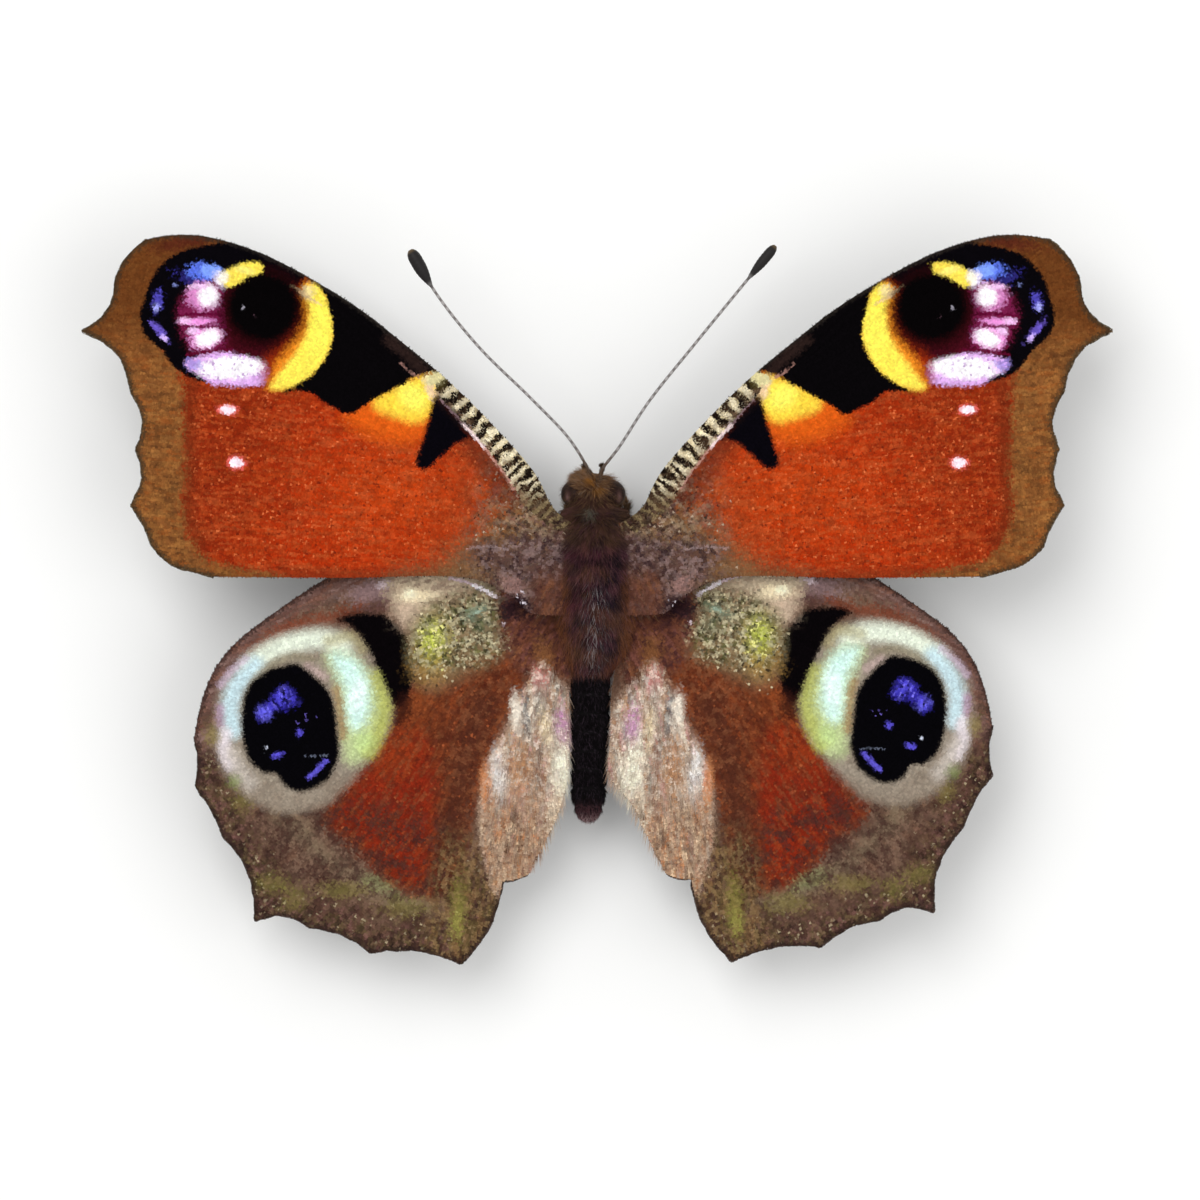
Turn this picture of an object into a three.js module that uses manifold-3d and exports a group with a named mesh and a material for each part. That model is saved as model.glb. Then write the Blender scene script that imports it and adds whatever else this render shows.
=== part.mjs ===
// A peacock butterfly at life size, its wings set flat and its antennae spread, standing on its four
// walking legs. Millimetres, +Z up, head towards +Y, the floor at z = 0.
import * as THREE from "three";
import { mergeVertices } from "three/addons/utils/BufferGeometryUtils.js";
import Module from "manifold-3d";

const wasm = await Module();
wasm.setup();

// Driving sizes
const GAP = 0.3; // left between each piece and what it grows from
const WING_THICKNESS = 0.5;
const VEIN_RISE = 0.17; // of a main vein above the membrane at the wing's root
const VEIN_FOOT = 0.34; // from a vein's crest to its foot
const VEIN_FADE = 0.8; // share of that rise which is gone by the margin
const CROSSVEIN = 0.6; // a crossvein's rise, as a share of a main vein's
const WIDEST_FOOT = 0.8; // of a vein, as a share of its part of a narrow gap
const HOLLOW_EDGE = 8; // how near the margin its hollows begin
const FOREWING_HEIGHT = 6.3; // of the wing's middle plane at its root
const HINDWING_HEIGHT = 5.1;
const WING_RISE = 0.1; // slope of a wing as it leaves the body
const WING_CAMBER = 0.0013; // how fast that slope eases off towards the tip
const FEELER_RADIUS = 0.25;
const STATIONS = 12; // steps along each vein from the root to the margin

// The thorax: half width along its length, from the neck to the waist
const THORAX = {
  x: -0.1,
  z: 5.0,
  front: 5.05,
  back: -4.0,
  tall: 1.02, // height over width
  widths: [[1.5, 5.05], [1.92, 4.5], [2.25, 3.4], [2.43, 1.4], [2.4, -1.0], [2.1, -2.8], [1.35, -4.0]],
};

// The abdomen bends a little to the left of the body's line, as in the specimen
const ABDOMEN = {
  front: THORAX.back - GAP,
  back: -13.1,
  xFront: -0.42,
  xBack: -0.55,
  zFront: 4.6,
  zBack: 4.0,
  halfWidth: 1.22,
  tall: 1.0,
  taper: 0.12, // share of its width that it loses by the tip
  tipFrom: 0.84, // share of its length where the tip rounds off
  tipEnd: 0.24, // least width at the tip, as a share
  segments: 8,
  groove: 0.06,
  grooveEdge: 6, // how narrow a groove is
};

const HEAD = {
  x: -0.25,
  y: 6.42,
  z: 4.9,
  size: [1.2, 1.12, 1.35], // half sizes
};

const EYE = { out: 0.98, forward: -0.2, up: 0.1, size: [0.95, 0.88, 1.15] };

// Wing plans for the right side, seen from above. Each ray runs from the wing's root to its margin. Its root
// is a place along the thorax, and a vein that leaves a stem shares it up to that station.
// hollow is how far the margin after the ray is drawn in before the next one, negative where it bulges.
const FOREWING = {
  height: FOREWING_HEIGHT,
  cell: 5, // station where the discal cell ends
  stems: {
    radius: { root: 3.5, through: [[5.1, 6.7], [7.8, 10.0], [11.2, 13.2]] },
    cubitus: { root: 2.2, through: [[6.0, 5.2], [9.0, 7.4], [12.2, 9.8]] },
  },
  rays: [
    {
      root: 4.4,
      through: [[2.6, 5.4], [3.8, 7.6], [6.37, 10.5], [8.8, 12.87], [10.9, 14.65]],
      fill: 1,
      hollow: 0,
    },
    { root: 4.0, through: [[4.4, 7.6], [7.7, 11.3], [13.1, 16.42]], fill: 2, hollow: -0.06 },
    { stem: "radius", leaves: 4, through: [[12.8, 15.4], [16.2, 18.45]], fill: 2, hollow: -0.06 },
    { stem: "radius", leaves: 5, through: [[15.2, 17.0], [19.5, 20.2]], fill: 2, hollow: -0.1 },
    { branch: 6, leaves: 7, through: [[19.2, 19.1], [23.0, 21.25]], fill: 2, hollow: -0.16 },
    { branch: 6, leaves: 9, through: [[24.4, 20.1], [26.3, 21.05]], fill: 3, hollow: -0.25 },
    { stem: "radius", leaves: 5, through: [[17.0, 17.0], [23.4, 18.5], [28.1, 18.8]], fill: 3, hollow: 0.58 },
    { stem: "radius", leaves: 5, through: [[17.5, 15.9], [23.4, 16.7], [30.0, 15.7]], fill: 4, hollow: 0.72 },
    { across: 0.5, leaves: 5, through: [[17.5, 14.1], [22.9, 14.3], [27.15, 12.1]], fill: 4, hollow: 0.5 },
    { stem: "cubitus", leaves: 5, through: [[17.0, 11.2], [21.5, 10.6], [26.9, 8.8]], fill: 4, hollow: 0.48 },
    { stem: "cubitus", leaves: 5, through: [[17.0, 8.9], [21.5, 7.2], [27.2, 5.55]], fill: 3, hollow: 0.12 },
    { stem: "cubitus", leaves: 4, through: [[14.2, 6.2], [20.0, 4.5], [26.0, 3.2]], fill: 4, hollow: -0.3 },
    { root: 0.6, through: [[6.0, 2.3], [14.0, 2.35], [23.7, 1.7]], fill: 1, hollow: 0 },
    { root: -0.9, through: [[3.9, -0.75], [5.1, 0.3], [8.0, 1.35], [15.0, 1.3], [22.4, 1.36]] },
  ],
};

// The inner edge follows the abdomen's side as far as these places along it
const HINDWING_ALONG_ABDOMEN = [-5.6, -8.0, -10.2];
const HINDWING = {
  height: HINDWING_HEIGHT,
  cell: 5,
  stems: {
    radius: { root: -0.6, through: [[6.0, -0.75], [10.4, -2.0]] },
    cubitus: { root: -1.7, through: [[5.6, -3.5], [9.7, -6.0]] },
  },
  rays: [
    { root: 0.9, through: [[5.5, 3.0], [10.0, 3.4], [14.3, 2.1]], fill: 2, hollow: -0.1 },
    { root: 0.2, through: [[7.5, 1.4], [13.5, 1.3], [18.85, -0.8]], fill: 5, hollow: -1.12 },
    { stem: "radius", leaves: 5, through: [[17.0, -4.0], [23.42, -8.0]], fill: 3, hollow: 0.2 },
    { stem: "radius", leaves: 5, through: [[16.6, -5.6], [23.35, -10.9]], fill: 4, hollow: 0.14 },
    { across: 0.5, leaves: 5, through: [[16.3, -8.0], [21.7, -13.8]], fill: 4, hollow: 0.62 },
    { stem: "cubitus", leaves: 5, through: [[15.3, -11.2], [19.9, -18.75]], fill: 4, hollow: 0.5 },
    { stem: "cubitus", leaves: 5, through: [[13.4, -12.4], [16.7, -19.15]], fill: 4, hollow: 0.3 },
    { stem: "cubitus", leaves: 4, through: [[10.9, -12.6], [13.2, -20.6]], fill: 4, hollow: 0.42 },
    { root: -2.4, through: [[5.4, -10.0], [7.95, -21.3]], fill: 3, hollow: -0.5 },
    { root: -2.9, through: [[3.9, -9.5], [5.55, -16.45]], fill: 2, hollow: -0.1 },
    { root: -3.4, along: HINDWING_ALONG_ABDOMEN, through: [[2.2, -12.2], [2.8, -13.6], [4.05, -16.1]] },
  ],
};

// The right hindwing reaches a little less far out than the left, and sits higher towards its tip
const HINDWING_SET = { left: { lift: 0, spread: 1.008 }, right: { lift: 0.032, spread: 0.984 } };
const FOREWING_SET = { lift: 0, spread: 1 };

// Antennae seen from above: where each bends, ends in its club, and how high it gets there
const ANTENNAE = {
  left: [
    [-0.5, 7.5, 6.05], [-1.6, 9.36, 6.5], [-3.8, 11.7, 6.9],
    [-6.9, 14.75, 7.3], [-9.35, 17.8, 7.6], [-10.95, 20.45, 7.7],
  ],
  right: [
    [0.16, 7.4, 6.1], [1.3, 9.0, 6.5], [3.0, 11.6, 6.9],
    [5.8, 15.1, 7.3], [8.5, 18.4, 7.6], [10.4, 20.7, 7.7],
  ],
};
// full and roundFrom are shares of the club's length: where it is thickest, and where its end rounds off
const CLUB = { length: 2.5, radius: 0.42, full: 0.6, roundFrom: 0.85, round: 0.18 };

// The palps: where they leave the face, how they bend up, where they end and how thick they are
const PALP = {
  from: [0.4, 0.85, -0.5],
  bend: [0, 0.25, 0.18],
  front: 7.9,
  rise: 0.75,
  thick: 0.28,
  taper: 0.16,
};

// The proboscis, coiled below the head: radii of the coil and of the tube
const PROBOSCIS = {
  from: [0, -0.15, -1],
  turns: 1.3,
  outer: 0.95,
  inner: 0.3,
  samples: 16,
  thick: 0.24,
  taper: 0.1,
};

// Walking legs on the right: knee, ankle and toe. The roots lie on the thorax's underside.
const FOOT = { radius: 0.26, centre: 0.2, tipFrom: 0.98, tip: 0.8 };
const SOLE = 0.03; // what lies lower than this is flattened onto the floor
const BEND = 0.6; // length of a limb's bend past each joint
const HIP_DROP = 0.12; // how far a leg's first bend hangs below the line to the knee
const MIDWAY = 0.6; // share of a limb's part where its middle point lies
const THINNER = { knee: 0.08, shin: 0.09 }; // than the thigh
const LEGS = {
  leg_fore: {
    root: { y: 3.7, turn: 28 },
    knee: [1.75, 5.5, 2.6],
    ankle: [1.4, 6.1, 1.15],
    toe: [1.15, 4.8, 0.62],
    thick: 0.32,
  },
  leg_mid: {
    root: { y: 1.9, turn: 32 },
    knee: [4.9, 3.9, 4.0],
    ankle: [6.9, 5.2, 0.5],
    toe: [9.7, 6.7, FOOT.centre],
    thick: 0.36,
  },
  leg_hind: {
    root: { y: -1.6, turn: 32 },
    knee: [4.5, -3.9, 3.7],
    ankle: [6.1, -6.7, 0.5],
    toe: [7.3, -9.9, FOOT.centre],
    thick: 0.36,
  },
};

const COLOURS = {
  body: { color: 0x2e1f1a, roughness: 0.9 },
  abdomen: { color: 0x16100f, roughness: 0.8 },
  eye: { color: 0x2a1813, roughness: 0.35 },
  feeler: { color: 0x2b2a28, roughness: 0.6 },
  leg: { color: 0x3a2a20, roughness: 0.7 },
  forewing: { color: 0xb83a12, roughness: 0.75 },
  hindwing: { color: 0x8a4526, roughness: 0.8 },
};

const materials = Object.fromEntries(
  Object.entries(COLOURS).map(([name, look]) => [
    name,
    new THREE.MeshStandardMaterial({ ...look, metalness: 0 }),
  ]),
);

function smooth(points) {
  return new THREE.SplineCurve(points.map(([x, y]) => new THREE.Vector2(x, y)));
}

// Joins doubled vertices and drops the faces that this closes up.
function welded(geometry) {
  const bare = new THREE.BufferGeometry();
  bare.setAttribute("position", geometry.getAttribute("position"));
  bare.setIndex(geometry.getIndex());
  const merged = mergeVertices(bare, 1e-3);
  const corners = merged.getIndex().array;
  const kept = [];
  for (let i = 0; i < corners.length; i += 3) {
    const [a, b, c] = corners.slice(i, i + 3);
    if (a !== b && b !== c && c !== a) kept.push(a, b, c);
  }
  merged.setIndex(kept);
  merged.computeVertexNormals();
  return merged;
}

function solidOf(geometry) {
  return new wasm.Manifold(
    new wasm.Mesh({
      numProp: 3,
      vertProperties: new Float32Array(geometry.getAttribute("position").array),
      triVerts: new Uint32Array(geometry.getIndex().array),
    }),
  );
}

// What is left of a piece clear of its neighbour, as its largest closed surface.
function cutClear(geometry, neighbour) {
  const pieces = solidOf(geometry).subtract(solidOf(neighbour)).decompose();
  const largest = pieces.reduce((a, b) => (b.volume() > a.volume() ? b : a));
  const { numProp, vertProperties, triVerts } = largest.getMesh();
  const positions = new Float32Array((vertProperties.length / numProp) * 3);
  for (let i = 0; i < positions.length / 3; i++)
    for (let k = 0; k < 3; k++) positions[3 * i + k] = vertProperties[numProp * i + k];
  const made = new THREE.BufferGeometry();
  made.setAttribute("position", new THREE.BufferAttribute(positions, 3));
  made.setIndex(Array.from(triVerts));
  made.computeVertexNormals();
  return made;
}

function moveVertices(geometry, move) {
  const position = geometry.getAttribute("position");
  const v = new THREE.Vector3();
  for (let i = 0; i < position.count; i++) {
    v.fromBufferAttribute(position, i);
    move(v);
    position.setXYZ(i, v.x, v.y, v.z);
  }
  return geometry;
}

// Thorax
const thoraxSide = smooth(THORAX.widths);
function thoraxHalfWidth(y) {
  let low = 0;
  let high = 1;
  for (let i = 0; i < 30; i++) {
    const middle = (low + high) / 2;
    if (thoraxSide.getPoint(middle).y > y) low = middle;
    else high = middle;
  }
  return thoraxSide.getPoint(low).x;
}

// How far out the thorax's side is at a place along it and a height.
function thoraxReach(y, z) {
  const half = thoraxHalfWidth(y);
  const up = (z - THORAX.z) / (half * THORAX.tall);
  return half * Math.sqrt(Math.max(0, 1 - up * up));
}

function thoraxGeometry() {
  const ends = [THORAX.front, THORAX.back].map((y) => new THREE.Vector2(0, y));
  const profile = [ends[0], ...thoraxSide.getPoints(15), ends[1]];
  const round = new THREE.LatheGeometry(profile.reverse(), 24);
  return welded(
    moveVertices(round, (v) => {
      v.x += THORAX.x;
      v.z = v.z * THORAX.tall + THORAX.z;
    }),
  );
}

// Abdomen
function abdomenAxis(y) {
  const along = (ABDOMEN.front - y) / (ABDOMEN.front - ABDOMEN.back);
  return {
    x: THREE.MathUtils.lerp(ABDOMEN.xFront, ABDOMEN.xBack, along),
    z: THREE.MathUtils.lerp(ABDOMEN.zFront, ABDOMEN.zBack, along),
  };
}

function abdomenHalfWidth(y) {
  const along = (ABDOMEN.front - y) / (ABDOMEN.front - ABDOMEN.back);
  const taper = 1 - ABDOMEN.taper * along;
  const pastBend = Math.max(0, (along - ABDOMEN.tipFrom) / (1 - ABDOMEN.tipFrom));
  const tip = Math.sqrt(Math.max(0, 1 - Math.pow(pastBend, 2)));
  const wave = Math.abs(Math.cos(Math.PI * along * ABDOMEN.segments));
  const groove = ABDOMEN.groove * Math.pow(wave, ABDOMEN.grooveEdge);
  return ABDOMEN.halfWidth * taper * Math.max(ABDOMEN.tipEnd, tip) - groove;
}

function abdomenGeometry() {
  const steps = ABDOMEN.segments * 4;
  const profile = [new THREE.Vector2(0, ABDOMEN.back)];
  for (let i = 0; i <= steps; i++) {
    const y = THREE.MathUtils.lerp(ABDOMEN.back, ABDOMEN.front, i / steps);
    profile.push(new THREE.Vector2(abdomenHalfWidth(y), y));
  }
  profile.push(new THREE.Vector2(0, ABDOMEN.front));
  const round = new THREE.LatheGeometry(profile, 16);
  return welded(
    moveVertices(round, (v) => {
      const axis = abdomenAxis(v.y);
      v.x += axis.x;
      v.z = v.z * ABDOMEN.tall + axis.z;
    }),
  );
}

// Head and eyes
function headShape(extra, across, along) {
  const ball = new THREE.SphereGeometry(1, across, along);
  ball.scale(...HEAD.size.map((half) => half + extra));
  ball.translate(HEAD.x, HEAD.y, HEAD.z);
  return welded(ball);
}

function neckBlock(front) {
  const block = new THREE.BoxGeometry(6, 4, 8);
  block.translate(HEAD.x, front - 2, HEAD.z);
  return welded(block);
}

function headGeometry() {
  return cutClear(headShape(0, 20, 14), neckBlock(THORAX.front + GAP));
}

function eyeGeometry(side) {
  const ball = new THREE.SphereGeometry(1, 16, 12);
  ball.scale(...EYE.size);
  ball.translate(HEAD.x + side * EYE.out, HEAD.y + EYE.forward, HEAD.z + EYE.up);
  return cutClear(welded(ball), headShape(GAP, 20, 14));
}

// A point on the head, or just clear of it, in a direction from its middle.
function onHead(direction, clear) {
  const d = new THREE.Vector3(...direction).normalize();
  const [a, b, c] = HEAD.size.map((half) => half + clear);
  const reach = 1 / Math.hypot(d.x / a, d.y / b, d.z / c);
  return new THREE.Vector3(HEAD.x, HEAD.y, HEAD.z).addScaledVector(d, reach);
}

// A limb: a closed tube along points, each with its own radius.
function limb(points, radiusAt, steps, sides) {
  const path = new THREE.CatmullRomCurve3(points, false, "centripetal");
  const frames = path.computeFrenetFrames(steps, false);
  const tube = new THREE.CylinderGeometry(1, 1, 1, sides, steps);
  return welded(
    moveVertices(tube, (v) => {
      const step = Math.round((0.5 - v.y) * steps);
      const along = step / steps;
      const radius = radiusAt(along);
      const centre = path.getPointAt(along);
      const out = frames.normals[step].clone().multiplyScalar(v.x * radius);
      out.addScaledVector(frames.binormals[step], v.z * radius);
      v.copy(centre.add(out));
    }),
  );
}

function antennaGeometry(side) {
  const points = ANTENNAE[side].map((p) => new THREE.Vector3(...p));
  const length = new THREE.CatmullRomCurve3(points, false, "centripetal").getLength();
  const clubStart = 1 - CLUB.length / length;
  const radiusAt = (along) => {
    if (along < clubStart) return FEELER_RADIUS;
    const t = (along - clubStart) / (1 - clubStart);
    const grown = Math.sin((Math.PI / 2) * Math.min(1, t / CLUB.full));
    const swell = FEELER_RADIUS + (CLUB.radius - FEELER_RADIUS) * grown;
    return t > CLUB.roundFrom ? swell * Math.sqrt(1 - Math.pow((t - CLUB.roundFrom) / CLUB.round, 2)) : swell;
  };
  return limb(points, radiusAt, 30, 8);
}

function palpGeometry(side) {
  const [out, forward, up] = PALP.from;
  const root = onHead([side * out, forward, up], GAP);
  const bend = root.clone().add(new THREE.Vector3(...PALP.bend));
  const tip = new THREE.Vector3(root.x, PALP.front, root.z + PALP.rise);
  return limb([root, bend, tip], (t) => PALP.thick - PALP.taper * t, 8, 8);
}

function proboscisGeometry() {
  const { turns, outer, inner, samples } = PROBOSCIS;
  const root = onHead(PROBOSCIS.from, GAP);
  const centre = new THREE.Vector3(root.x, root.y, root.z - outer);
  const points = [];
  for (let i = 0; i <= samples; i++) {
    const t = i / samples;
    const angle = Math.PI / 2 - t * turns * 2 * Math.PI;
    const r = THREE.MathUtils.lerp(outer, inner, t);
    points.push(new THREE.Vector3(centre.x, centre.y + r * Math.cos(angle), centre.z + r * Math.sin(angle)));
  }
  return limb(points, (t) => PROBOSCIS.thick - PROBOSCIS.taper * t * t, 22, 8);
}

// Legs
function legGeometry(plan, side) {
  const turn = THREE.MathUtils.degToRad(plan.root.turn);
  const reach = thoraxHalfWidth(plan.root.y) + GAP;
  const root = new THREE.Vector3(
    THORAX.x + side * reach * Math.sin(turn),
    plan.root.y,
    THORAX.z - reach * THORAX.tall * Math.cos(turn),
  );
  const joints = [plan.knee, plan.ankle, plan.toe];
  const [knee, ankle, toe] = joints.map(([x, y, z]) => new THREE.Vector3(side * x, y, z));
  const past = (joint, next) => joint.clone().lerp(next, BEND / joint.distanceTo(next));
  const hip = past(root, knee).sub(new THREE.Vector3(0, 0, HIP_DROP));
  const shin = past(knee, ankle);
  const heel = past(ankle, toe);
  heel.z = Math.min(ankle.z, Math.max(toe.z, FOOT.centre));
  const midThigh = root.clone().lerp(knee, MIDWAY);
  const midShin = knee.clone().lerp(ankle, MIDWAY);
  const points = [root, hip, midThigh, knee, shin, midShin, ankle, heel, toe];
  const path = new THREE.CatmullRomCurve3(points, false, "centripetal");
  const total = path.getLength();
  const femurEnd = root.distanceTo(knee) / total;
  const shinEnd = femurEnd + knee.distanceTo(ankle) / total;
  const radiusAt = (t) => {
    if (t < femurEnd) return plan.thick - THINNER.knee * (t / femurEnd);
    if (t < shinEnd) return plan.thick - THINNER.shin;
    return t > FOOT.tipFrom ? FOOT.radius * FOOT.tip : FOOT.radius;
  };
  const leg = limb(points, radiusAt, 26, 8);
  return welded(
    moveVertices(leg, (v) => {
      if (v.z < SOLE) v.z = 0;
    }),
  );
}

// Wings
function wingHeight(plan, x) {
  const out = Math.max(0, x - thoraxHalfWidth(1));
  return plan.height + WING_RISE * out - WING_CAMBER * out * out;
}

// The wing's root on the thorax's side, or its inner edge on the abdomen's, on the right or the mirrored left.
function besideThorax(plan, y, side) {
  const half = WING_THICKNESS / 2 + VEIN_RISE;
  const widest = THREE.MathUtils.clamp(THORAX.z, plan.height - half, plan.height + half);
  return thoraxReach(y, widest) + side * THORAX.x + GAP;
}

function besideAbdomen(y, side) {
  return ABDOMEN.halfWidth + side * abdomenAxis(y).x + GAP;
}

// Each ray of a wing as a function that gives its point at a station.
function wingRays(plan, side) {
  const stems = {};
  for (const [name, stem] of Object.entries(plan.stems)) {
    const curve = smooth([[besideThorax(plan, stem.root, side), stem.root], ...stem.through]);
    stems[name] = (i) => curve.getPointAt(i / plan.cell);
  }
  const across = (share) => (i) => stems.radius(i).lerp(stems.cubitus(i), share);
  const made = [];
  const build = (k) => {
    if (made[k]) return made[k];
    const ray = plan.rays[k];
    const along = (ray.along ?? []).map((y) => [besideAbdomen(y, side), y]);
    if (ray.root !== undefined) {
      const curve = smooth([[besideThorax(plan, ray.root, side), ray.root], ...along, ...ray.through]);
      made[k] = (i) => curve.getPointAt(i / STATIONS);
      return made[k];
    }
    let stem = ray.stem ? stems[ray.stem] : across(ray.across);
    if (ray.branch !== undefined) stem = build(ray.branch);
    const start = stem(ray.leaves);
    const curve = smooth([[start.x, start.y], ...ray.through]);
    made[k] = (i) => (i <= ray.leaves ? stem(i) : curve.getPointAt((i - ray.leaves) / (STATIONS - ray.leaves)));
    return made[k];
  };
  return plan.rays.map((_, k) => build(k));
}

// The wing's points, row by row from the leading edge, each with how far a vein raises it there.
function wingRows(plan, side) {
  const rays = wingRays(plan, side);
  const rows = [];
  const crest = (ray, i) => {
    const starts = ray.across !== undefined ? ray.leaves : 1;
    if (i < starts) return 0;
    return VEIN_RISE * (1 - (VEIN_FADE * i) / STATIONS);
  };
  plan.rays.forEach((ray, k) => {
    const row = [];
    for (let i = 0; i <= STATIONS; i++) row.push({ at: rays[k](i), rise: crest(ray, i) });
    rows.push(row);
    if (k + 1 === plan.rays.length) return;
    const a = rays[k](STATIONS);
    const b = rays[k + 1](STATIONS);
    const inward = new THREE.Vector2(b.y - a.y, a.x - b.x).normalize();
    const home = rays[k](0).sub(a);
    if (inward.dot(home) < 0) inward.negate();
    for (let j = 1; j <= ray.fill; j++) {
      const between = [];
      for (let i = 0; i <= STATIONS; i++) {
        const p = rays[k](i);
        const q = rays[k + 1](i);
        const foot = Math.min(VEIN_FOOT / Math.max(1e-6, p.distanceTo(q)), WIDEST_FOOT / (ray.fill + 1));
        const share = ray.fill === 1 ? 0.5 : THREE.MathUtils.lerp(foot, 1 - foot, (j - 1) / (ray.fill - 1));
        const crossvein = i === plan.cell && inCell(plan, k) ? CROSSVEIN * VEIN_RISE : 0;
        const shared = p.distanceTo(q) < 1e-3;
        const rise = shared ? crest(ray, i) : crossvein;
        const nearEdge = Math.pow(i / STATIONS, HOLLOW_EDGE);
        const draw = shared ? 0 : ray.hollow * Math.sin(Math.PI * share) * nearEdge;
        between.push({ at: p.clone().lerp(q, share).addScaledVector(inward, draw), rise });
      }
      rows.push(between);
    }
  });
  return rows;
}

// Whether the gap behind a ray lies across the end of the discal cell.
function inCell(plan, k) {
  const middle = plan.rays.findIndex((ray) => ray.across !== undefined);
  return k === middle || k === middle - 1;
}

function wingGeometry(plan, side, set) {
  const rows = wingRows(plan, side);
  const besideBody = thoraxHalfWidth(0) + GAP;
  const rowSize = STATIONS + 1;
  const count = rows.length * rowSize;
  const positions = new Float32Array(count * 2 * 3);
  rows.forEach((row, j) =>
    row.forEach(({ at, rise }, i) => {
      const out = i === 0 ? 0 : Math.max(0, at.x - besideBody);
      const x = i === 0 ? besideThorax(plan, at.y, side) : at.x + (set.spread - 1) * out;
      const y = at.y + set.lift * out;
      const z = wingHeight(plan, x);
      const half = WING_THICKNESS / 2 + rise;
      const k = j * rowSize + i;
      positions.set([side * x, y, z + half], 3 * k);
      positions.set([side * x, y, z - half], 3 * (k + count));
    }),
  );
  const faces = [];
  const add = (a, b, c) => (side > 0 ? faces.push(a, b, c) : faces.push(a, c, b));
  const quad = (a, b, c, d) => {
    add(a, b, c);
    add(a, c, d);
  };
  const at = (j, i) => j * rowSize + i;
  for (let j = 0; j + 1 < rows.length; j++) {
    for (let i = 0; i < STATIONS; i++) {
      quad(at(j, i), at(j + 1, i), at(j + 1, i + 1), at(j, i + 1));
      quad(at(j, i) + count, at(j, i + 1) + count, at(j + 1, i + 1) + count, at(j + 1, i) + count);
    }
    quad(at(j, 0), at(j, 0) + count, at(j + 1, 0) + count, at(j + 1, 0));
    quad(at(j, STATIONS), at(j + 1, STATIONS), at(j + 1, STATIONS) + count, at(j, STATIONS) + count);
  }
  const last = rows.length - 1;
  for (let i = 0; i < STATIONS; i++) {
    quad(at(0, i), at(0, i + 1), at(0, i + 1) + count, at(0, i) + count);
    quad(at(last, i), at(last, i) + count, at(last, i + 1) + count, at(last, i + 1));
  }
  const sheet = new THREE.BufferGeometry();
  sheet.setAttribute("position", new THREE.BufferAttribute(positions, 3));
  sheet.setIndex(faces);
  return welded(sheet);
}

// The whole butterfly
const butterfly = new THREE.Group();
butterfly.name = "peacock_butterfly";

function place(name, geometry, material) {
  const mesh = new THREE.Mesh(geometry, materials[material]);
  mesh.name = name;
  butterfly.add(mesh);
}

place("thorax", thoraxGeometry(), "body");
place("abdomen", abdomenGeometry(), "abdomen");
place("head", headGeometry(), "body");
place("proboscis", proboscisGeometry(), "feeler");
for (const [name, side] of [["left", -1], ["right", 1]]) {
  place(`eye_${name}`, eyeGeometry(side), "eye");
  place(`palp_${name}`, palpGeometry(side), "body");
  place(`antenna_${name}`, antennaGeometry(name), "feeler");
  for (const [leg, plan] of Object.entries(LEGS)) place(`${leg}_${name}`, legGeometry(plan, side), "leg");
  place(`forewing_${name}`, wingGeometry(FOREWING, side, FOREWING_SET), "forewing");
  place(`hindwing_${name}`, wingGeometry(HINDWING, side, HINDWING_SET[name]), "hindwing");
}

export default butterfly;
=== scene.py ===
import math

import bmesh
import bpy
import numpy as np
from mathutils.geometry import delaunay_2d_cdt
from mathutils.kdtree import KDTree
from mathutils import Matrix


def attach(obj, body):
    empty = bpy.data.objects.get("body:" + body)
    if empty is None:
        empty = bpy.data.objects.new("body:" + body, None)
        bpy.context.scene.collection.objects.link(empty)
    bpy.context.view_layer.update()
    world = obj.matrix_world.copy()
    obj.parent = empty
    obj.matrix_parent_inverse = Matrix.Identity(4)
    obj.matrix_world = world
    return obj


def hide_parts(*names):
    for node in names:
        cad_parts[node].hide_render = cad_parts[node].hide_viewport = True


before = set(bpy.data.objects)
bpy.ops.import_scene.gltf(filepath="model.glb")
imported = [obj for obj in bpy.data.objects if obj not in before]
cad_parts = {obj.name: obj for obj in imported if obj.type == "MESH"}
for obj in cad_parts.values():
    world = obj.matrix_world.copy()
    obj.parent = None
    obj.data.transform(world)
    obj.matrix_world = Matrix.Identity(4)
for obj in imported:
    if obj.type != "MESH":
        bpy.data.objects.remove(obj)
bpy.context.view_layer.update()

# A peacock butterfly, seen from straight above with its wings set flat. Lengths are in millimetres
# up to the last step, where a mesh is made and MM turns them into metres. +X is the right wing's side,
# +Y the head's. A wing is worked out in its own plan, with x outward from the body. Each random draw has a
# seed of its own, so that every run gives the same insect.
MM = 0.001
GAP = 0.3  # between the solids' pieces
ROOT_GAP = -0.5  # a wing's root goes into the thorax
EDGE_GAP = 0.02  # and its inner edge lies against the abdomen
FLOOR_GAP = 0.005  # the lowest point of any piece

# The solids' body, which the wings and legs start from. The thorax's widths are halves, each with its y.
THORAX = {
    "x": -0.1,
    "z": 5.0,
    "tall": 1.02,
    "widths": [(1.5, 5.05), (1.92, 4.5), (2.25, 3.4), (2.43, 1.4), (2.4, -1.0), (2.1, -2.8), (1.35, -4.0)],
}
ABDOMEN = {"front": -4.3, "back": -13.1, "x_front": -0.42, "x_back": -0.55, "half_width": 1.22}
HEAD = {"centre": (-0.25, 6.42, 4.9), "half": (1.2, 1.12, 1.35)}

# The eyes from the head's middle, and how much of the solid's size the lenses and the hairs' roots have
EYE = {
    "out": 0.98,
    "forward": -0.2,
    "up": 0.1,
    "half": (0.95, 0.88, 1.15),
    "share": 0.97,
    "hair_share": 0.95,
}

# How the solids' wings are made. A wing rises outward by so much to the millimetre, less as it bends down.
SOLID_THICKNESS = 0.5
SOLID_VEIN_RISE = 0.17
WING_RISE = 0.1
WING_CAMBER = 0.0013
STATIONS = 12
MARGIN_STEPS = 12  # from the tip of one ray to the next's

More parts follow.
